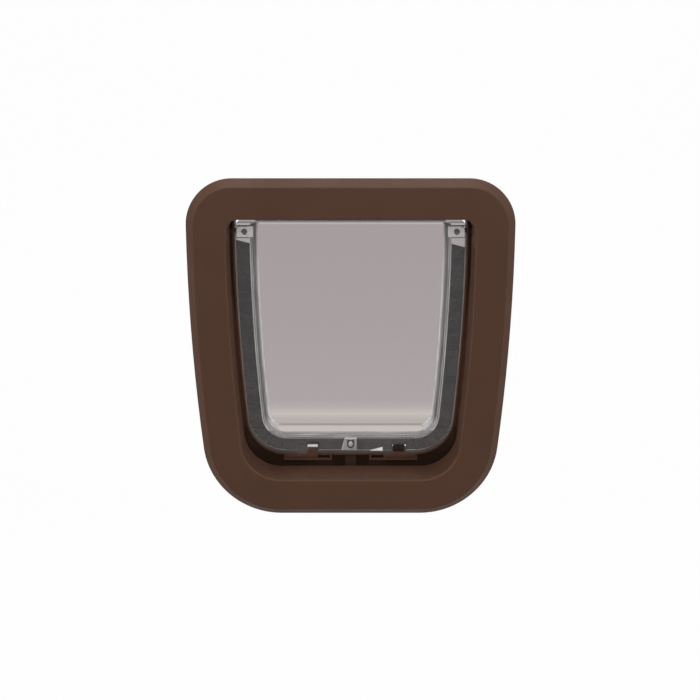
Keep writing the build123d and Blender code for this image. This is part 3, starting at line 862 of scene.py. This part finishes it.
# Painted highlight on the lock lug's slope, with painted shade of a slit above it
LOCK_SLOPE = HighlightEdge(
    "lock_slope", (0.58, 0.57, 0.55, 1.0), (0.80, 0.79, 0.77, 1.0), slit_height=-78.7 * MM
)
PILE = PileYarn("pile_yarn", (0.13, 0.121, 0.12, 1.0), (0.175, 0.164, 0.162, 1.0))
SCREW_STEEL = PlatedSteel(
    "screw_plating", (0.42, 0.41, 0.38, 1.0), (0.62, 0.60, 0.56, 1.0), lines_per_mm=(1.0, 0.2, 1.0)
)
# Painted shade: the pins are much darker than steel, for the shade in the lug holes over them
PIN_STEEL = PlatedSteel(
    "pin_steel", (0.05, 0.048, 0.046, 1.0), (0.10, 0.096, 0.094, 1.0), lines_per_mm=(0.2, 2.0, 2.0)
)
MAGNET_METAL = PlatedSteel(
    "magnet_metal", (0.22, 0.22, 0.23, 1.0), (0.36, 0.36, 0.37, 1.0), lines_per_mm=(1.0, 1.0, 1.0)
)


def dress(node: str, material: bpy.types.Material) -> None:
    """Gives a carried-over CAD node its material.

    Args:
        node: Name of the node.
        material: Material for all its faces.
    """
    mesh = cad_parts[node].data
    mesh.materials.clear()
    mesh.materials.append(material)
    LOG.info("dressed %s", node)


def place(
    name: str, mesh: bpy.types.Mesh, body: Body, stands_for: str | None = None
) -> None:
    """Puts a finished mesh in the scene on its body.

    Args:
        name: Name of the piece.
        mesh: Mesh whose place is in its vertices.
        body: Body that the piece rides on.
        stands_for: CAD node that the piece replaces, if it does.
    """
    piece = bpy.data.objects.new(name, mesh)
    bpy.context.scene.collection.objects.link(piece)
    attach(piece, body.value)
    if stands_for:
        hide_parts(stands_for)
    LOG.info("placed %s with %d faces", name, len(mesh.polygons))


def grown_mesh(
    name: str, source: bpy.types.Mesh, tree: bpy.types.NodeTree, values: Mapping[str, object]
) -> bpy.types.Mesh:
    """Runs a geometry tree on a mesh and keeps the result as a plain mesh.

    Args:
        name: Name of the result.
        source: Mesh that goes into the tree.
        tree: Geometry node tree whose first input is the geometry.
        values: Value of each other named input.

    Returns:
        The plain mesh.
    """
    carrier = bpy.data.objects.new(name, source)
    bpy.context.scene.collection.objects.link(carrier)
    modifier = carrier.modifiers.new(name, "NODES")
    modifier.node_group = tree
    for item in tree.interface.items_tree:
        if item.in_out == "INPUT" and item.name in values:
            modifier[item.identifier] = values[item.name]
    graph = bpy.context.evaluated_depsgraph_get()
    mesh = bpy.data.meshes.new_from_object(carrier.evaluated_get(graph), depsgraph=graph)
    carrier.modifiers.remove(modifier)
    bpy.data.objects.remove(carrier)
    mesh.name = name
    return mesh


@dataclass
class Mouldings:
    """The two frames and the two catches, which keep their CAD shapes."""

    catches: tuple[str, ...] = ("catch_left", "catch_right")

    def build(self) -> None:
        """Dresses the frames and the catches in moulded plastic."""
        dress("front_frame", BROWN.material())
        dress("rear_frame", INNER_BROWN.material())
        catch = CATCH_BROWN.material()
        for node in self.catches:
            dress(node, catch)


class Zone(Enum):
    """Zones of the flap by their surface, in the order of its materials."""

    CLEAR = 0
    SIDE_STEPS = 1
    SILL_STEPS = 2
    LOCK_SLOPE = 3
    LUG_FACE = 4
    HOUSING_FACE = 5
    SHADED = 6
    GROUND = 7


@dataclass(frozen=True)
class Spot:
    """Where a face of the panel lies, in millimetres, and which way it faces.

    Attributes:
        across: Distance from the middle to either side.
        inward: Distance in from the panel's side.
        behind: Distance back from the flange's front.
        above: Height over the panel's lowest point.
        under: Distance down from its highest point.
        turn_x: How far the face turns to either side.
        turn_y: How far it turns back, below nothing where it turns forward.
        turn_z: How far it turns up.
    """

    across: float
    inward: float
    behind: float
    above: float
    under: float
    turn_x: float
    turn_y: float
    turn_z: float


@dataclass(frozen=True)
class Patch:
    """Faces of the panel that share a zone, by the limits of their spots."""

    zone: Zone
    limits: Mapping[str, Span]

    def holds(self, spot: Spot) -> bool:
        """Tells whether a spot is within all the limits."""
        return all(low <= getattr(spot, name) <= high for name, (low, high) in self.limits.items())


FACING: Span = (-1.0, -0.9)
LUG_REACH: Span = (0.0, 30.0)
HOUSING_REACH: Span = (0.0, 8.0)
HOUSING_RISE: Span = (0.0, 11.0)
LOCK_DEPTH: Span = (-2.4, 0.0)
LOCK_RISE: Span = (0.0, 8.0)
LOCK_TURN: Span = (0.4, 1.0)
STEP_DEPTH: Span = (0.1, 3.3)
EDGE_DEPTH: Span = (-0.1, 2.3)
EDGE_TURN: Span = (-1.0, -0.2)
PATCHES = (
    # Fronts and sides of the hinge lugs, and the walls of their holes
    Patch(Zone.LUG_FACE, {"behind": (-1.0, -0.6), "under": LUG_REACH, "turn_y": FACING}),
    Patch(Zone.SHADED, {"behind": (-0.7, -0.05), "under": LUG_REACH}),
    Patch(
        Zone.SHADED,
        {"behind": (-0.3, 3.1), "under": (6.5, 11.3), "inward": (3.7, 8.3), "turn_y": (-0.3, 0.3)},
    ),
    # Front of the slug's housing, the wall round the slug and the housing's sides
    Patch(
        Zone.HOUSING_FACE,
        {"behind": (-1.6, -1.2), "above": HOUSING_RISE, "across": HOUSING_REACH, "turn_y": FACING},
    ),
    Patch(
        Zone.SHADED,
        {"behind": (-1.3, 0.8), "above": (0.0, 9.0), "across": (0.0, 2.75), "turn_y": (-0.5, 0.5)},
    ),
    Patch(Zone.GROUND, {"behind": (-1.4, -0.05), "above": HOUSING_RISE, "across": HOUSING_REACH}),
    # Upper slopes of the lock lugs
    Patch(
        Zone.LOCK_SLOPE,
        {"behind": LOCK_DEPTH, "above": LOCK_RISE, "across": (24.4, 34.0), "turn_z": LOCK_TURN},
    ),
    Patch(
        Zone.GROUND, {"behind": LOCK_DEPTH, "above": LOCK_RISE, "across": (8.0, 24.4), "turn_z": LOCK_TURN}
    ),
    # Terraces round the window and the side walls of its dish
    Patch(Zone.SILL_STEPS, {"behind": STEP_DEPTH, "above": (8.6, 15.0), "turn_y": FACING}),
    Patch(Zone.SIDE_STEPS, {"behind": STEP_DEPTH, "above": (15.0, 180.0), "turn_y": FACING}),
    Patch(Zone.SIDE_STEPS, {"behind": (3.1, 6.4), "turn_y": (-0.9, -0.1), "turn_x": (0.3, 1.0)}),
    # Lower edge and lower corners of the flange
    Patch(
        Zone.GROUND, {"behind": EDGE_DEPTH, "above": (0.0, 1.0), "turn_y": (-1.0, 0.1), "turn_z": EDGE_TURN}
    ),
    Patch(
        Zone.GROUND, {"behind": EDGE_DEPTH, "above": (0.0, 30.0), "turn_z": EDGE_TURN, "across": (45.0, 90.0)}
    ),
)


@dataclass
class ClearFlap:
    """The clear flap with its slug and hinge pins."""

    pins: tuple[str, ...] = ("hinge_pin_left", "hinge_pin_right")
    lock_lug_proud: float = 2.3 * MM

    def corners(self, node: str) -> tuple[Vector, Vector]:
        """Finds the box of a CAD node.

        Args:
            node: Name of the node.

        Returns:
            Lowest and highest corner.
        """
        points = [v.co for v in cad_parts[node].data.vertices]
        low = Vector([min(p[axis] for p in points) for axis in range(3)])
        return low, Vector([max(p[axis] for p in points) for axis in range(3)])

    def spot(self, face: bpy.types.MeshPolygon, low: Vector, high: Vector) -> Spot:
        """Measures a face of the panel.

        Args:
            face: Face of the panel's mesh.
            low: Lowest corner of the panel's box.
            high: Highest corner of the panel's box.

        Returns:
            The face's spot.
        """
        middle, normal = face.center, face.normal
        return Spot(
            across=abs(middle.x) / MM,
            inward=(high.x - abs(middle.x)) / MM,
            behind=(middle.y - low.y - self.lock_lug_proud) / MM,
            above=(middle.z - low.z) / MM,
            under=(high.z - middle.z) / MM,
            turn_x=abs(normal.x),
            turn_y=normal.y,
            turn_z=normal.z,
        )

    def panel(self) -> None:
        """Gives the panel its clear and stepped zones and its zones of painted shade and highlight."""
        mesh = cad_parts["flap_panel"].data
        dress("flap_panel", SMOKED.material())
        for finish in (SIDE_STEPS, SILL_STEPS, LOCK_SLOPE, LUG_FACE, HOUSING_FACE, SHADED, GROUND):
            mesh.materials.append(finish.material())
        low, high = self.corners("flap_panel")
        for face in mesh.polygons:
            spot = self.spot(face, low, high)
            zones = [patch.zone for patch in PATCHES if patch.holds(spot)]
            face.material_index = (zones or [Zone.CLEAR])[0].value

    def slug(self) -> None:
        """Dresses the slug in steel with a painted highlight on its dome."""
        low, high = self.corners("flap_slug")
        size = (high - low) / 2
        steel = DomedSteel(
            "slug_steel",
            # Painted shade round the dome and painted highlight on it
            rim=(0.035, 0.032, 0.032, 1.0),
            dome=(0.40, 0.365, 0.365, 1.0),
            middle=tuple((low + high) / 2),
            half_width=size.x,
            half_height=size.z,
        )
        dress("flap_slug", steel.material())

    def build(self) -> None:
        """Dresses the panel, the slug, the pins and the frame's magnet."""
        self.panel()
        self.slug()
        dress("frame_magnet", MAGNET_METAL.material())
        steel = PIN_STEEL.material()
        for node in self.pins:
            dress(node, steel)


@dataclass
class PileSeal:
    """One pile strip behind the flap's flange: a thin tape with fibres that stand back from it."""

    side: Side
    tape_thickness: float = 0.7 * MM
    fibre_length: float = 2.2 * MM
    shortest_share: float = 0.72
    fibre_radius: float = 0.11 * MM
    fibres_per_mm2: float = 6.0
    lean: float = 0.32
    seed: int = 7
    weld: float = 0.001 * MM
    forward: float = -0.99
    node: str = field(init=False)

    def __post_init__(self) -> None:
        """Names the CAD strip that this one stands for."""
        self.node = f"seal_strip_{self.side.value}"

    def sheet(self, depth: float) -> bmesh.types.BMesh:
        """Flat sheet of the strip's outline.

        Args:
            depth: How far behind the strip's front the sheet lies.

        Returns:
            Open sheet that faces forward.
        """
        sheet = bmesh.new()
        sheet.from_mesh(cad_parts[self.node].data)
        bmesh.ops.remove_doubles(sheet, verts=sheet.verts, dist=self.weld)
        sheet.normal_update()
        rest = [f for f in sheet.faces if f.normal.y > self.forward]
        bmesh.ops.delete(sheet, geom=rest, context="FACES")
        bmesh.ops.translate(sheet, verts=sheet.verts, vec=(0.0, depth, 0.0))
        return sheet

    def tape(self, yarn: bpy.types.Material) -> bpy.types.Mesh:
        """Closed tape that carries the fibres.

        Args:
            yarn: Material of the tape.

        Returns:
            Mesh of the tape.
        """
        sheet = self.sheet(0.0)
        made = bmesh.ops.extrude_face_region(sheet, geom=sheet.faces)
        moved = [v for v in made["geom"] if isinstance(v, bmesh.types.BMVert)]
        bmesh.ops.translate(sheet, verts=moved, vec=(0.0, self.tape_thickness, 0.0))
        bmesh.ops.recalc_face_normals(sheet, faces=sheet.faces)
        mesh = bpy.data.meshes.new(f"seal_tape_{self.side.value}")
        sheet.to_mesh(mesh)
        sheet.free()
        mesh.materials.append(yarn)
        return mesh

    def fibre_tree(self) -> bpy.types.NodeTree:
        """Tree that stands short tapered fibres all over a sheet.

        Returns:
            Geometry node tree with named inputs for the fibres.
        """
        name = "pile_fibres"
        if name in bpy.data.node_groups:
            return bpy.data.node_groups[name]
        tree = bpy.data.node_groups.new(name, "GeometryNodeTree")
        sockets = {"Geometry": "NodeSocketGeometry"}
        sockets |= dict.fromkeys(("Density", "Length", "Radius", "Lean"), "NodeSocketFloat")
        sockets |= {"Seed": "NodeSocketInt", "Yarn": "NodeSocketMaterial"}
        give_sockets(tree, sockets, {"Geometry": "NodeSocketGeometry"})
        sheet = NodeSheet(tree)
        given = sheet.add("NodeGroupInput").outputs
        spread = {"Mesh": given["Geometry"], "Density": given["Density"], "Seed": given["Seed"]}
        points = sheet.add("GeometryNodeDistributePointsOnFaces", spread)
        taper = {"Radius Top": 0.0, "Radius Bottom": given["Radius"], "Depth": given["Length"]}
        fibre = sheet.add("GeometryNodeMeshCone", {"Vertices": 3, "Side Segments": 2, **taper})
        back = sheet.math("ADD", given["Lean"], -math.pi / 2)
        forth = sheet.math("SUBTRACT", -math.pi / 2, given["Lean"])
        left = sheet.math("MULTIPLY", given["Lean"], -1.0)
        lowest = sheet.add("ShaderNodeCombineXYZ", {0: forth, 1: left, 2: 0.0}).outputs[0]
        highest = sheet.add("ShaderNodeCombineXYZ", {0: back, 1: given["Lean"], 2: 0.0}).outputs[0]
        turns = {0: lowest, 1: highest, "Seed": given["Seed"]}
        turn = sheet.add("FunctionNodeRandomValue", turns, data_type="FLOAT_VECTOR")
        shares = {2: self.shortest_share, 3: 1.0, "Seed": given["Seed"]}
        share = sheet.add("FunctionNodeRandomValue", shares, data_type="FLOAT")
        scale = sheet.add("ShaderNodeCombineXYZ", {0: 1.0, 1: 1.0, 2: share.outputs[1]})
        standing = {"Points": points.outputs["Points"], "Instance": fibre.outputs["Mesh"]}
        standing |= {"Rotation": turn.outputs[0], "Scale": scale.outputs[0]}
        stood = sheet.add("GeometryNodeInstanceOnPoints", standing)
        real = sheet.add("GeometryNodeRealizeInstances", {0: stood.outputs[0]})
        dyed = sheet.add("GeometryNodeSetMaterial", {"Geometry": real.outputs[0], "Material": given["Yarn"]})
        sheet.add("NodeGroupOutput", {0: dyed.outputs[0]})
        return tree

    def fibres(self, yarn: bpy.types.Material) -> bpy.types.Mesh:
        """Fibres that stand on the tape.

        Args:
            yarn: Material of the fibres.

        Returns:
            Mesh of all fibres of the strip.
        """
        sheet = self.sheet(self.tape_thickness)
        source = bpy.data.meshes.new(f"seal_sheet_{self.side.value}")
        sheet.to_mesh(source)
        sheet.free()
        values = {
            "Density": self.fibres_per_mm2 / (MM * MM),
            "Length": self.fibre_length,
            "Radius": self.fibre_radius,
            "Lean": self.lean,
            "Seed": self.seed,
            "Yarn": yarn,
        }
        return grown_mesh(f"seal_pile_{self.side.value}", source, self.fibre_tree(), values)

    def build(self, yarn: bpy.types.Material) -> None:
        """Places the tape and its fibres, both of the yarn, on the flap."""
        place(f"seal_tape_{self.side.value}", self.tape(yarn), Body.FLAP, self.node)
        place(f"seal_pile_{self.side.value}", self.fibres(yarn), Body.FLAP)


@dataclass
class FrameScrews:
    """The four screws that pull the frames together: pan heads with a cross recess, threaded shanks."""

    node: str = "frame_screws"
    head_height: float = 2.6 * MM
    head_side: float = 1.5 * MM
    head_radius: float = 3.8 * MM
    dome_power: int = 3
    shank_radius: float = 2.0 * MM
    core_radius: float = 1.7 * MM
    thread_size: float = 0.3 * MM
    thread_sides: int = 4
    thread_length: float = 30 * MM
    pitch: float = 1.4 * MM
    steps_per_turn: int = 18
    tip_length: float = 1.2 * MM
    tip_share: float = 0.3
    recess_reach: float = 2.1 * MM
    recess_half: float = 0.42 * MM
    recess_depth: float = 1.3 * MM
    recess_slope: float = 0.7
    segments: int = 64
    rings: int = 12

    def places(self) -> tuple[list[Point], float]:
        """Finds the screws in the CAD node.

        Returns:
            The middle of each screw's head at its seat, and the shank's length.
        """
        points = [v.co.copy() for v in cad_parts[self.node].data.vertices]
        back = max(p.y for p in points)
        front = min(p.y for p in points)
        found = []
        for side in (-1, 1):
            for height in (-1, 1):
                own = [p for p in points if p.x * side > 0 and p.z * height > 0]
                x = (min(p.x for p in own) + max(p.x for p in own)) / 2
                z = (min(p.z for p in own) + max(p.z for p in own)) / 2
                found.append((x, back - self.head_height, z))
        return found, back - self.head_height - front

    def recess(self, x: float, z: float) -> float:
        """Depth of the cross recess at a place on the head.

        Args:
            x: Place along one arm, from the middle.
            z: Place along the other arm.

        Returns:
            Depth below the dome.
        """
        along, across = max(abs(x), abs(z)), min(abs(x), abs(z))
        if along > self.recess_reach or across > self.recess_half:
            return 0.0
        return self.recess_depth * (1.0 - self.recess_slope * along / self.recess_reach)

    def profile(self, length: float) -> list[tuple[float, float]]:
        """Outline of a screw from its tip to the middle of its head.

        Args:
            length: Length of the shank.

        Returns:
            Radius and place along the screw for each ring of vertices.
        """
        dome = self.head_height - self.head_side
        rows = [(self.tip_share * self.core_radius, -length), (self.core_radius, -length + self.tip_length)]
        rows += [(self.core_radius, -length + self.thread_length)]
        rows += [(self.shank_radius, -length + self.thread_length + self.tip_length / 2)]
        rows += [(self.shank_radius, 0.0), (self.head_radius, 0.0), (self.head_radius, self.head_side)]
        for step in range(1, self.rings + 1):
            radius = self.head_radius * (1.0 - step / (self.rings + 1))
            share = radius / self.head_radius
            rows.append((radius, self.head_side + dome * math.sqrt(1.0 - share**self.dome_power)))
        return rows

    def blank(self, length: float) -> bpy.types.Mesh:
        """One screw without its thread, with its seat at the origin and its head toward +Y.

        Args:
            length: Length of the shank.

        Returns:
            Closed mesh of the screw.
        """
        made = bmesh.new()
        loops = []
        for radius, place_at in self.profile(length):
            loop = []
            for step in range(self.segments):
                angle = 2 * math.pi * step / self.segments
                x, z = radius * math.cos(angle), radius * math.sin(angle)
                sunk = self.recess(x, z) if place_at > self.head_side else 0.0
                loop.append(made.verts.new((x, place_at - sunk, z)))
            loops.append(loop)
        tip = made.verts.new((0.0, -length, 0.0))
        crown = made.verts.new((0.0, self.head_height - self.recess_depth, 0.0))
        for step in range(self.segments):
            after = (step + 1) % self.segments
            for low, high in zip(loops, loops[1:]):
                made.faces.new((low[step], low[after], high[after], high[step]))
            made.faces.new((loops[0][after], loops[0][step], tip))
            made.faces.new((loops[-1][step], loops[-1][after], crown))
        bmesh.ops.recalc_face_normals(made, faces=made.faces)
        mesh = bpy.data.meshes.new("screw_blank")
        made.to_mesh(mesh)
        made.free()
        return mesh

    def tree(self, count: int) -> bpy.types.NodeTree:
        """Tree that winds a thread round a screw and sets the screw at each place.

        Args:
            count: Number of screws.

        Returns:
            Geometry node tree with named inputs.
        """
        tree = bpy.data.node_groups.new("threaded_screws", "GeometryNodeTree")
        sockets = {"Geometry": "NodeSocketGeometry", "Start": "NodeSocketVector"}
        sockets |= dict.fromkeys(("Turns", "Radius", "Run", "Thread"), "NodeSocketFloat")
        sockets |= {f"Place {number}": "NodeSocketVector" for number in range(count)}
        sockets["Steel"] = "NodeSocketMaterial"
        give_sockets(tree, sockets, {"Geometry": "NodeSocketGeometry"})
        sheet = NodeSheet(tree)
        given = sheet.add("NodeGroupInput").outputs
        winding = {"Resolution": self.steps_per_turn, "Rotations": given["Turns"], "Height": given["Run"]}
        winding |= {"Start Radius": given["Radius"], "End Radius": given["Radius"]}
        helix = sheet.add("GeometryNodeCurveSpiral", winding)
        laying = {"Translation": given["Start"], "Rotation": (-math.pi / 2, 0.0, 0.0)}
        laid = sheet.add("GeometryNodeTransform", {"Geometry": helix.outputs[0], **laying})
        outline = {"Resolution": self.thread_sides, "Radius": given["Thread"]}
        section = sheet.add("GeometryNodeCurvePrimitiveCircle", outline)
        run = {"Curve": laid.outputs[0], "Profile Curve": section.outputs[0], "Fill Caps": True}
        thread = sheet.add("GeometryNodeCurveToMesh", run)
        screw = sheet.add("GeometryNodeJoinGeometry")
        tree.links.new(given["Geometry"], screw.inputs[0])
        tree.links.new(thread.outputs[0], screw.inputs[0])
        places = sheet.add("GeometryNodeJoinGeometry")
        for number in range(count):
            point = sheet.add("GeometryNodePoints", {"Count": 1, "Position": given[f"Place {number}"]})
            tree.links.new(point.outputs[0], places.inputs[0])
        standing = {"Points": places.outputs[0], "Instance": screw.outputs[0]}
        stood = sheet.add("GeometryNodeInstanceOnPoints", standing)
        real = sheet.add("GeometryNodeRealizeInstances", {0: stood.outputs[0]})
        plating = {"Geometry": real.outputs[0], "Material": given["Steel"]}
        plated = sheet.add("GeometryNodeSetMaterial", plating)
        sheet.add("NodeGroupOutput", {0: plated.outputs[0]})
        return tree

    def build(self) -> None:
        """Places the screws in the frames."""
        places, length = self.places()
        run = self.thread_length - self.tip_length
        values = {
            "Turns": run / self.pitch,
            "Radius": self.core_radius,
            "Run": run,
            "Thread": self.thread_size,
            "Start": (0.0, -length + self.tip_length, 0.0),
            "Steel": SCREW_STEEL.material(),
        }
        values |= {f"Place {number}": place_at for number, place_at in enumerate(places)}
        mesh = grown_mesh("threaded_screws", self.blank(length), self.tree(len(places)), values)
        place("threaded_screws", mesh, Body.FRAMES, self.node)


@dataclass(frozen=True)
class Lamp:
    """Soft rectangular lamp, in metres and watts."""

    name: str
    place_at: Point
    size: Span
    power: float


LAMPS = (
    Lamp("top_panel", (0.0, 0.06, 1.25), (1.4, 0.35), 13.5),
    Lamp("front_panel", (0.0, -1.75, 0.6), (0.5, 0.5), 8.0),
    Lamp("left_panel", (-1.7, -0.85, 0.75), (0.9, 0.9), 24.5),
    Lamp("right_panel", (1.7, -0.85, 0.75), (0.9, 0.9), 23.5),
    Lamp("back_panel", (0.3, 1.0, 1.1), (1.2, 0.5), 4.5),
)


@dataclass
class Studio:
    """Pale floor and backdrop, soft lamps, surroundings and the camera."""

    target: Point = (0.0, -9 * MM, 0.0)
    distance: float = 970 * MM
    elevation: float = 15.0
    focal_px: float = 1349.0
    image_px: float = 700.0
    centre_px: Span = (350.58, 353.6)
    sensor: float = 36.0
    floor_height: float = -420 * MM
    floor_front: float = -1300 * MM
    floor_back: float = 1300 * MM
    floor_half: float = 2600 * MM
    wall_height: float = 2400 * MM
    bend_radius: float = 500 * MM
    bend_steps: int = 16
    paper_tone: float = 0.50
    paper_roughness: float = 0.9
    paper_white: float = 0.97
    room_colour: Colour = (0.98, 0.99, 1.0, 1.0)
    room_strength: float = 0.27

    def camera(self) -> None:
        """Makes the camera at the photograph's angle."""
        data = bpy.data.cameras.new("camera")
        data.sensor_width = self.sensor
        data.lens = self.focal_px / self.image_px * self.sensor
        data.shift_x = (self.image_px / 2 - self.centre_px[0]) / self.image_px
        data.shift_y = (self.centre_px[1] - self.image_px / 2) / self.image_px
        camera = bpy.data.objects.new("camera", data)
        bpy.context.scene.collection.objects.link(camera)
        rise = math.radians(self.elevation)
        away = Vector((0.0, -math.cos(rise), math.sin(rise)))
        camera.location = Vector(self.target) + away * self.distance
        camera.rotation_euler = (-away).to_track_quat("-Z", "Y").to_euler()
        bpy.context.scene.camera = camera

    def seen(self, sheet: NodeSheet) -> Socket:
        """Picks the rays that see the background itself or in a smooth surface.

        Args:
            sheet: Sheet of the background's material or of the world.

        Returns:
            Socket that is 1 for camera, transmission and glossy rays.
        """
        rays = sheet.add("ShaderNodeLightPath").outputs
        direct = sheet.math("MAXIMUM", rays["Is Camera Ray"], rays["Is Transmission Ray"])
        return sheet.math("MAXIMUM", direct, rays["Is Glossy Ray"])

    def paper(self) -> bpy.types.Material:
        """White paper that shows white, and still takes a little shadow.

        Returns:
            Material of the floor and backdrop.
        """
        material = bpy.data.materials.new("white_paper")
        material.use_nodes = True
        sheet = NodeSheet(material.node_tree)
        shader = material.node_tree.nodes["Principled BSDF"]
        sheet.wire(shader, {"Base Color": grey(self.paper_tone), "Roughness": self.paper_roughness})
        share = sheet.math("MULTIPLY", self.seen(sheet), self.paper_white)
        white = sheet.add("ShaderNodeEmission", {"Color": WHITE, "Strength": 1.0})
        sheet.show(share, shader.outputs[0], white.outputs[0], "Material Output")
        return material

    def sweep(self) -> None:
        """Makes the floor that bends up into a backdrop."""
        profile = [(self.floor_front, self.floor_height)]
        centre_y = self.floor_back - self.bend_radius
        centre_z = self.floor_height + self.bend_radius
        for step in range(self.bend_steps + 1):
            angle = math.radians(-90 + 90 * step / self.bend_steps)
            y = centre_y + self.bend_radius * math.cos(angle)
            profile.append((y, centre_z + self.bend_radius * math.sin(angle)))
        profile.append((self.floor_back, self.wall_height))
        points = [(side * self.floor_half, y, z) for y, z in profile for side in (-1, 1)]
        faces = [(2 * i, 2 * i + 1, 2 * i + 3, 2 * i + 2) for i in range(len(profile) - 1)]
        mesh = bpy.data.meshes.new("paper_sweep")
        mesh.from_pydata(points, [], faces)
        mesh.materials.append(self.paper())
        for polygon in mesh.polygons:
            polygon.use_smooth = True
        sweep = bpy.data.objects.new("paper_sweep", mesh)
        bpy.context.scene.collection.objects.link(sweep)

    def light(self, lamp: Lamp) -> None:
        """Hangs one lamp, aimed at the flap.

        Args:
            lamp: The lamp.
        """
        data = bpy.data.lights.new(lamp.name, "AREA")
        data.shape = "RECTANGLE"
        data.size, data.size_y = lamp.size
        data.energy = lamp.power
        hung = bpy.data.objects.new(lamp.name, data)
        bpy.context.scene.collection.objects.link(hung)
        hung.location = lamp.place_at
        aim = Vector(self.target) - Vector(lamp.place_at)
        hung.rotation_euler = aim.to_track_quat("-Z", "Y").to_euler()

    def surroundings(self) -> None:
        """Sets the dim room around the stage, white where it is seen."""
        world = bpy.data.worlds.new("room")
        bpy.context.scene.world = world
        world.use_nodes = True
        sheet = NodeSheet(world.node_tree)
        room = world.node_tree.nodes["Background"]
        sheet.wire(room, {"Color": self.room_colour, "Strength": self.room_strength})
        white = sheet.add("ShaderNodeBackground", {"Color": WHITE, "Strength": 1.0})
        sheet.show(self.seen(sheet), room.outputs[0], white.outputs[0], "World Output")

    def build(self) -> None:
        """Makes the camera, the stage and the light."""
        self.camera()
        self.sweep()
        self.surroundings()
        for lamp in LAMPS:
            self.light(lamp)
        bpy.context.scene.view_settings.view_transform = "Standard"


def main() -> None:
    """Builds the pieces in order, then the stage."""
    logging.basicConfig(level=logging.INFO)
    Mouldings().build()
    ClearFlap().build()
    yarn = PILE.material()
    for side in Side:
        PileSeal(side).build(yarn)
    FrameScrews().build()
    Studio().build()


if __name__ == "__main__":
    main()
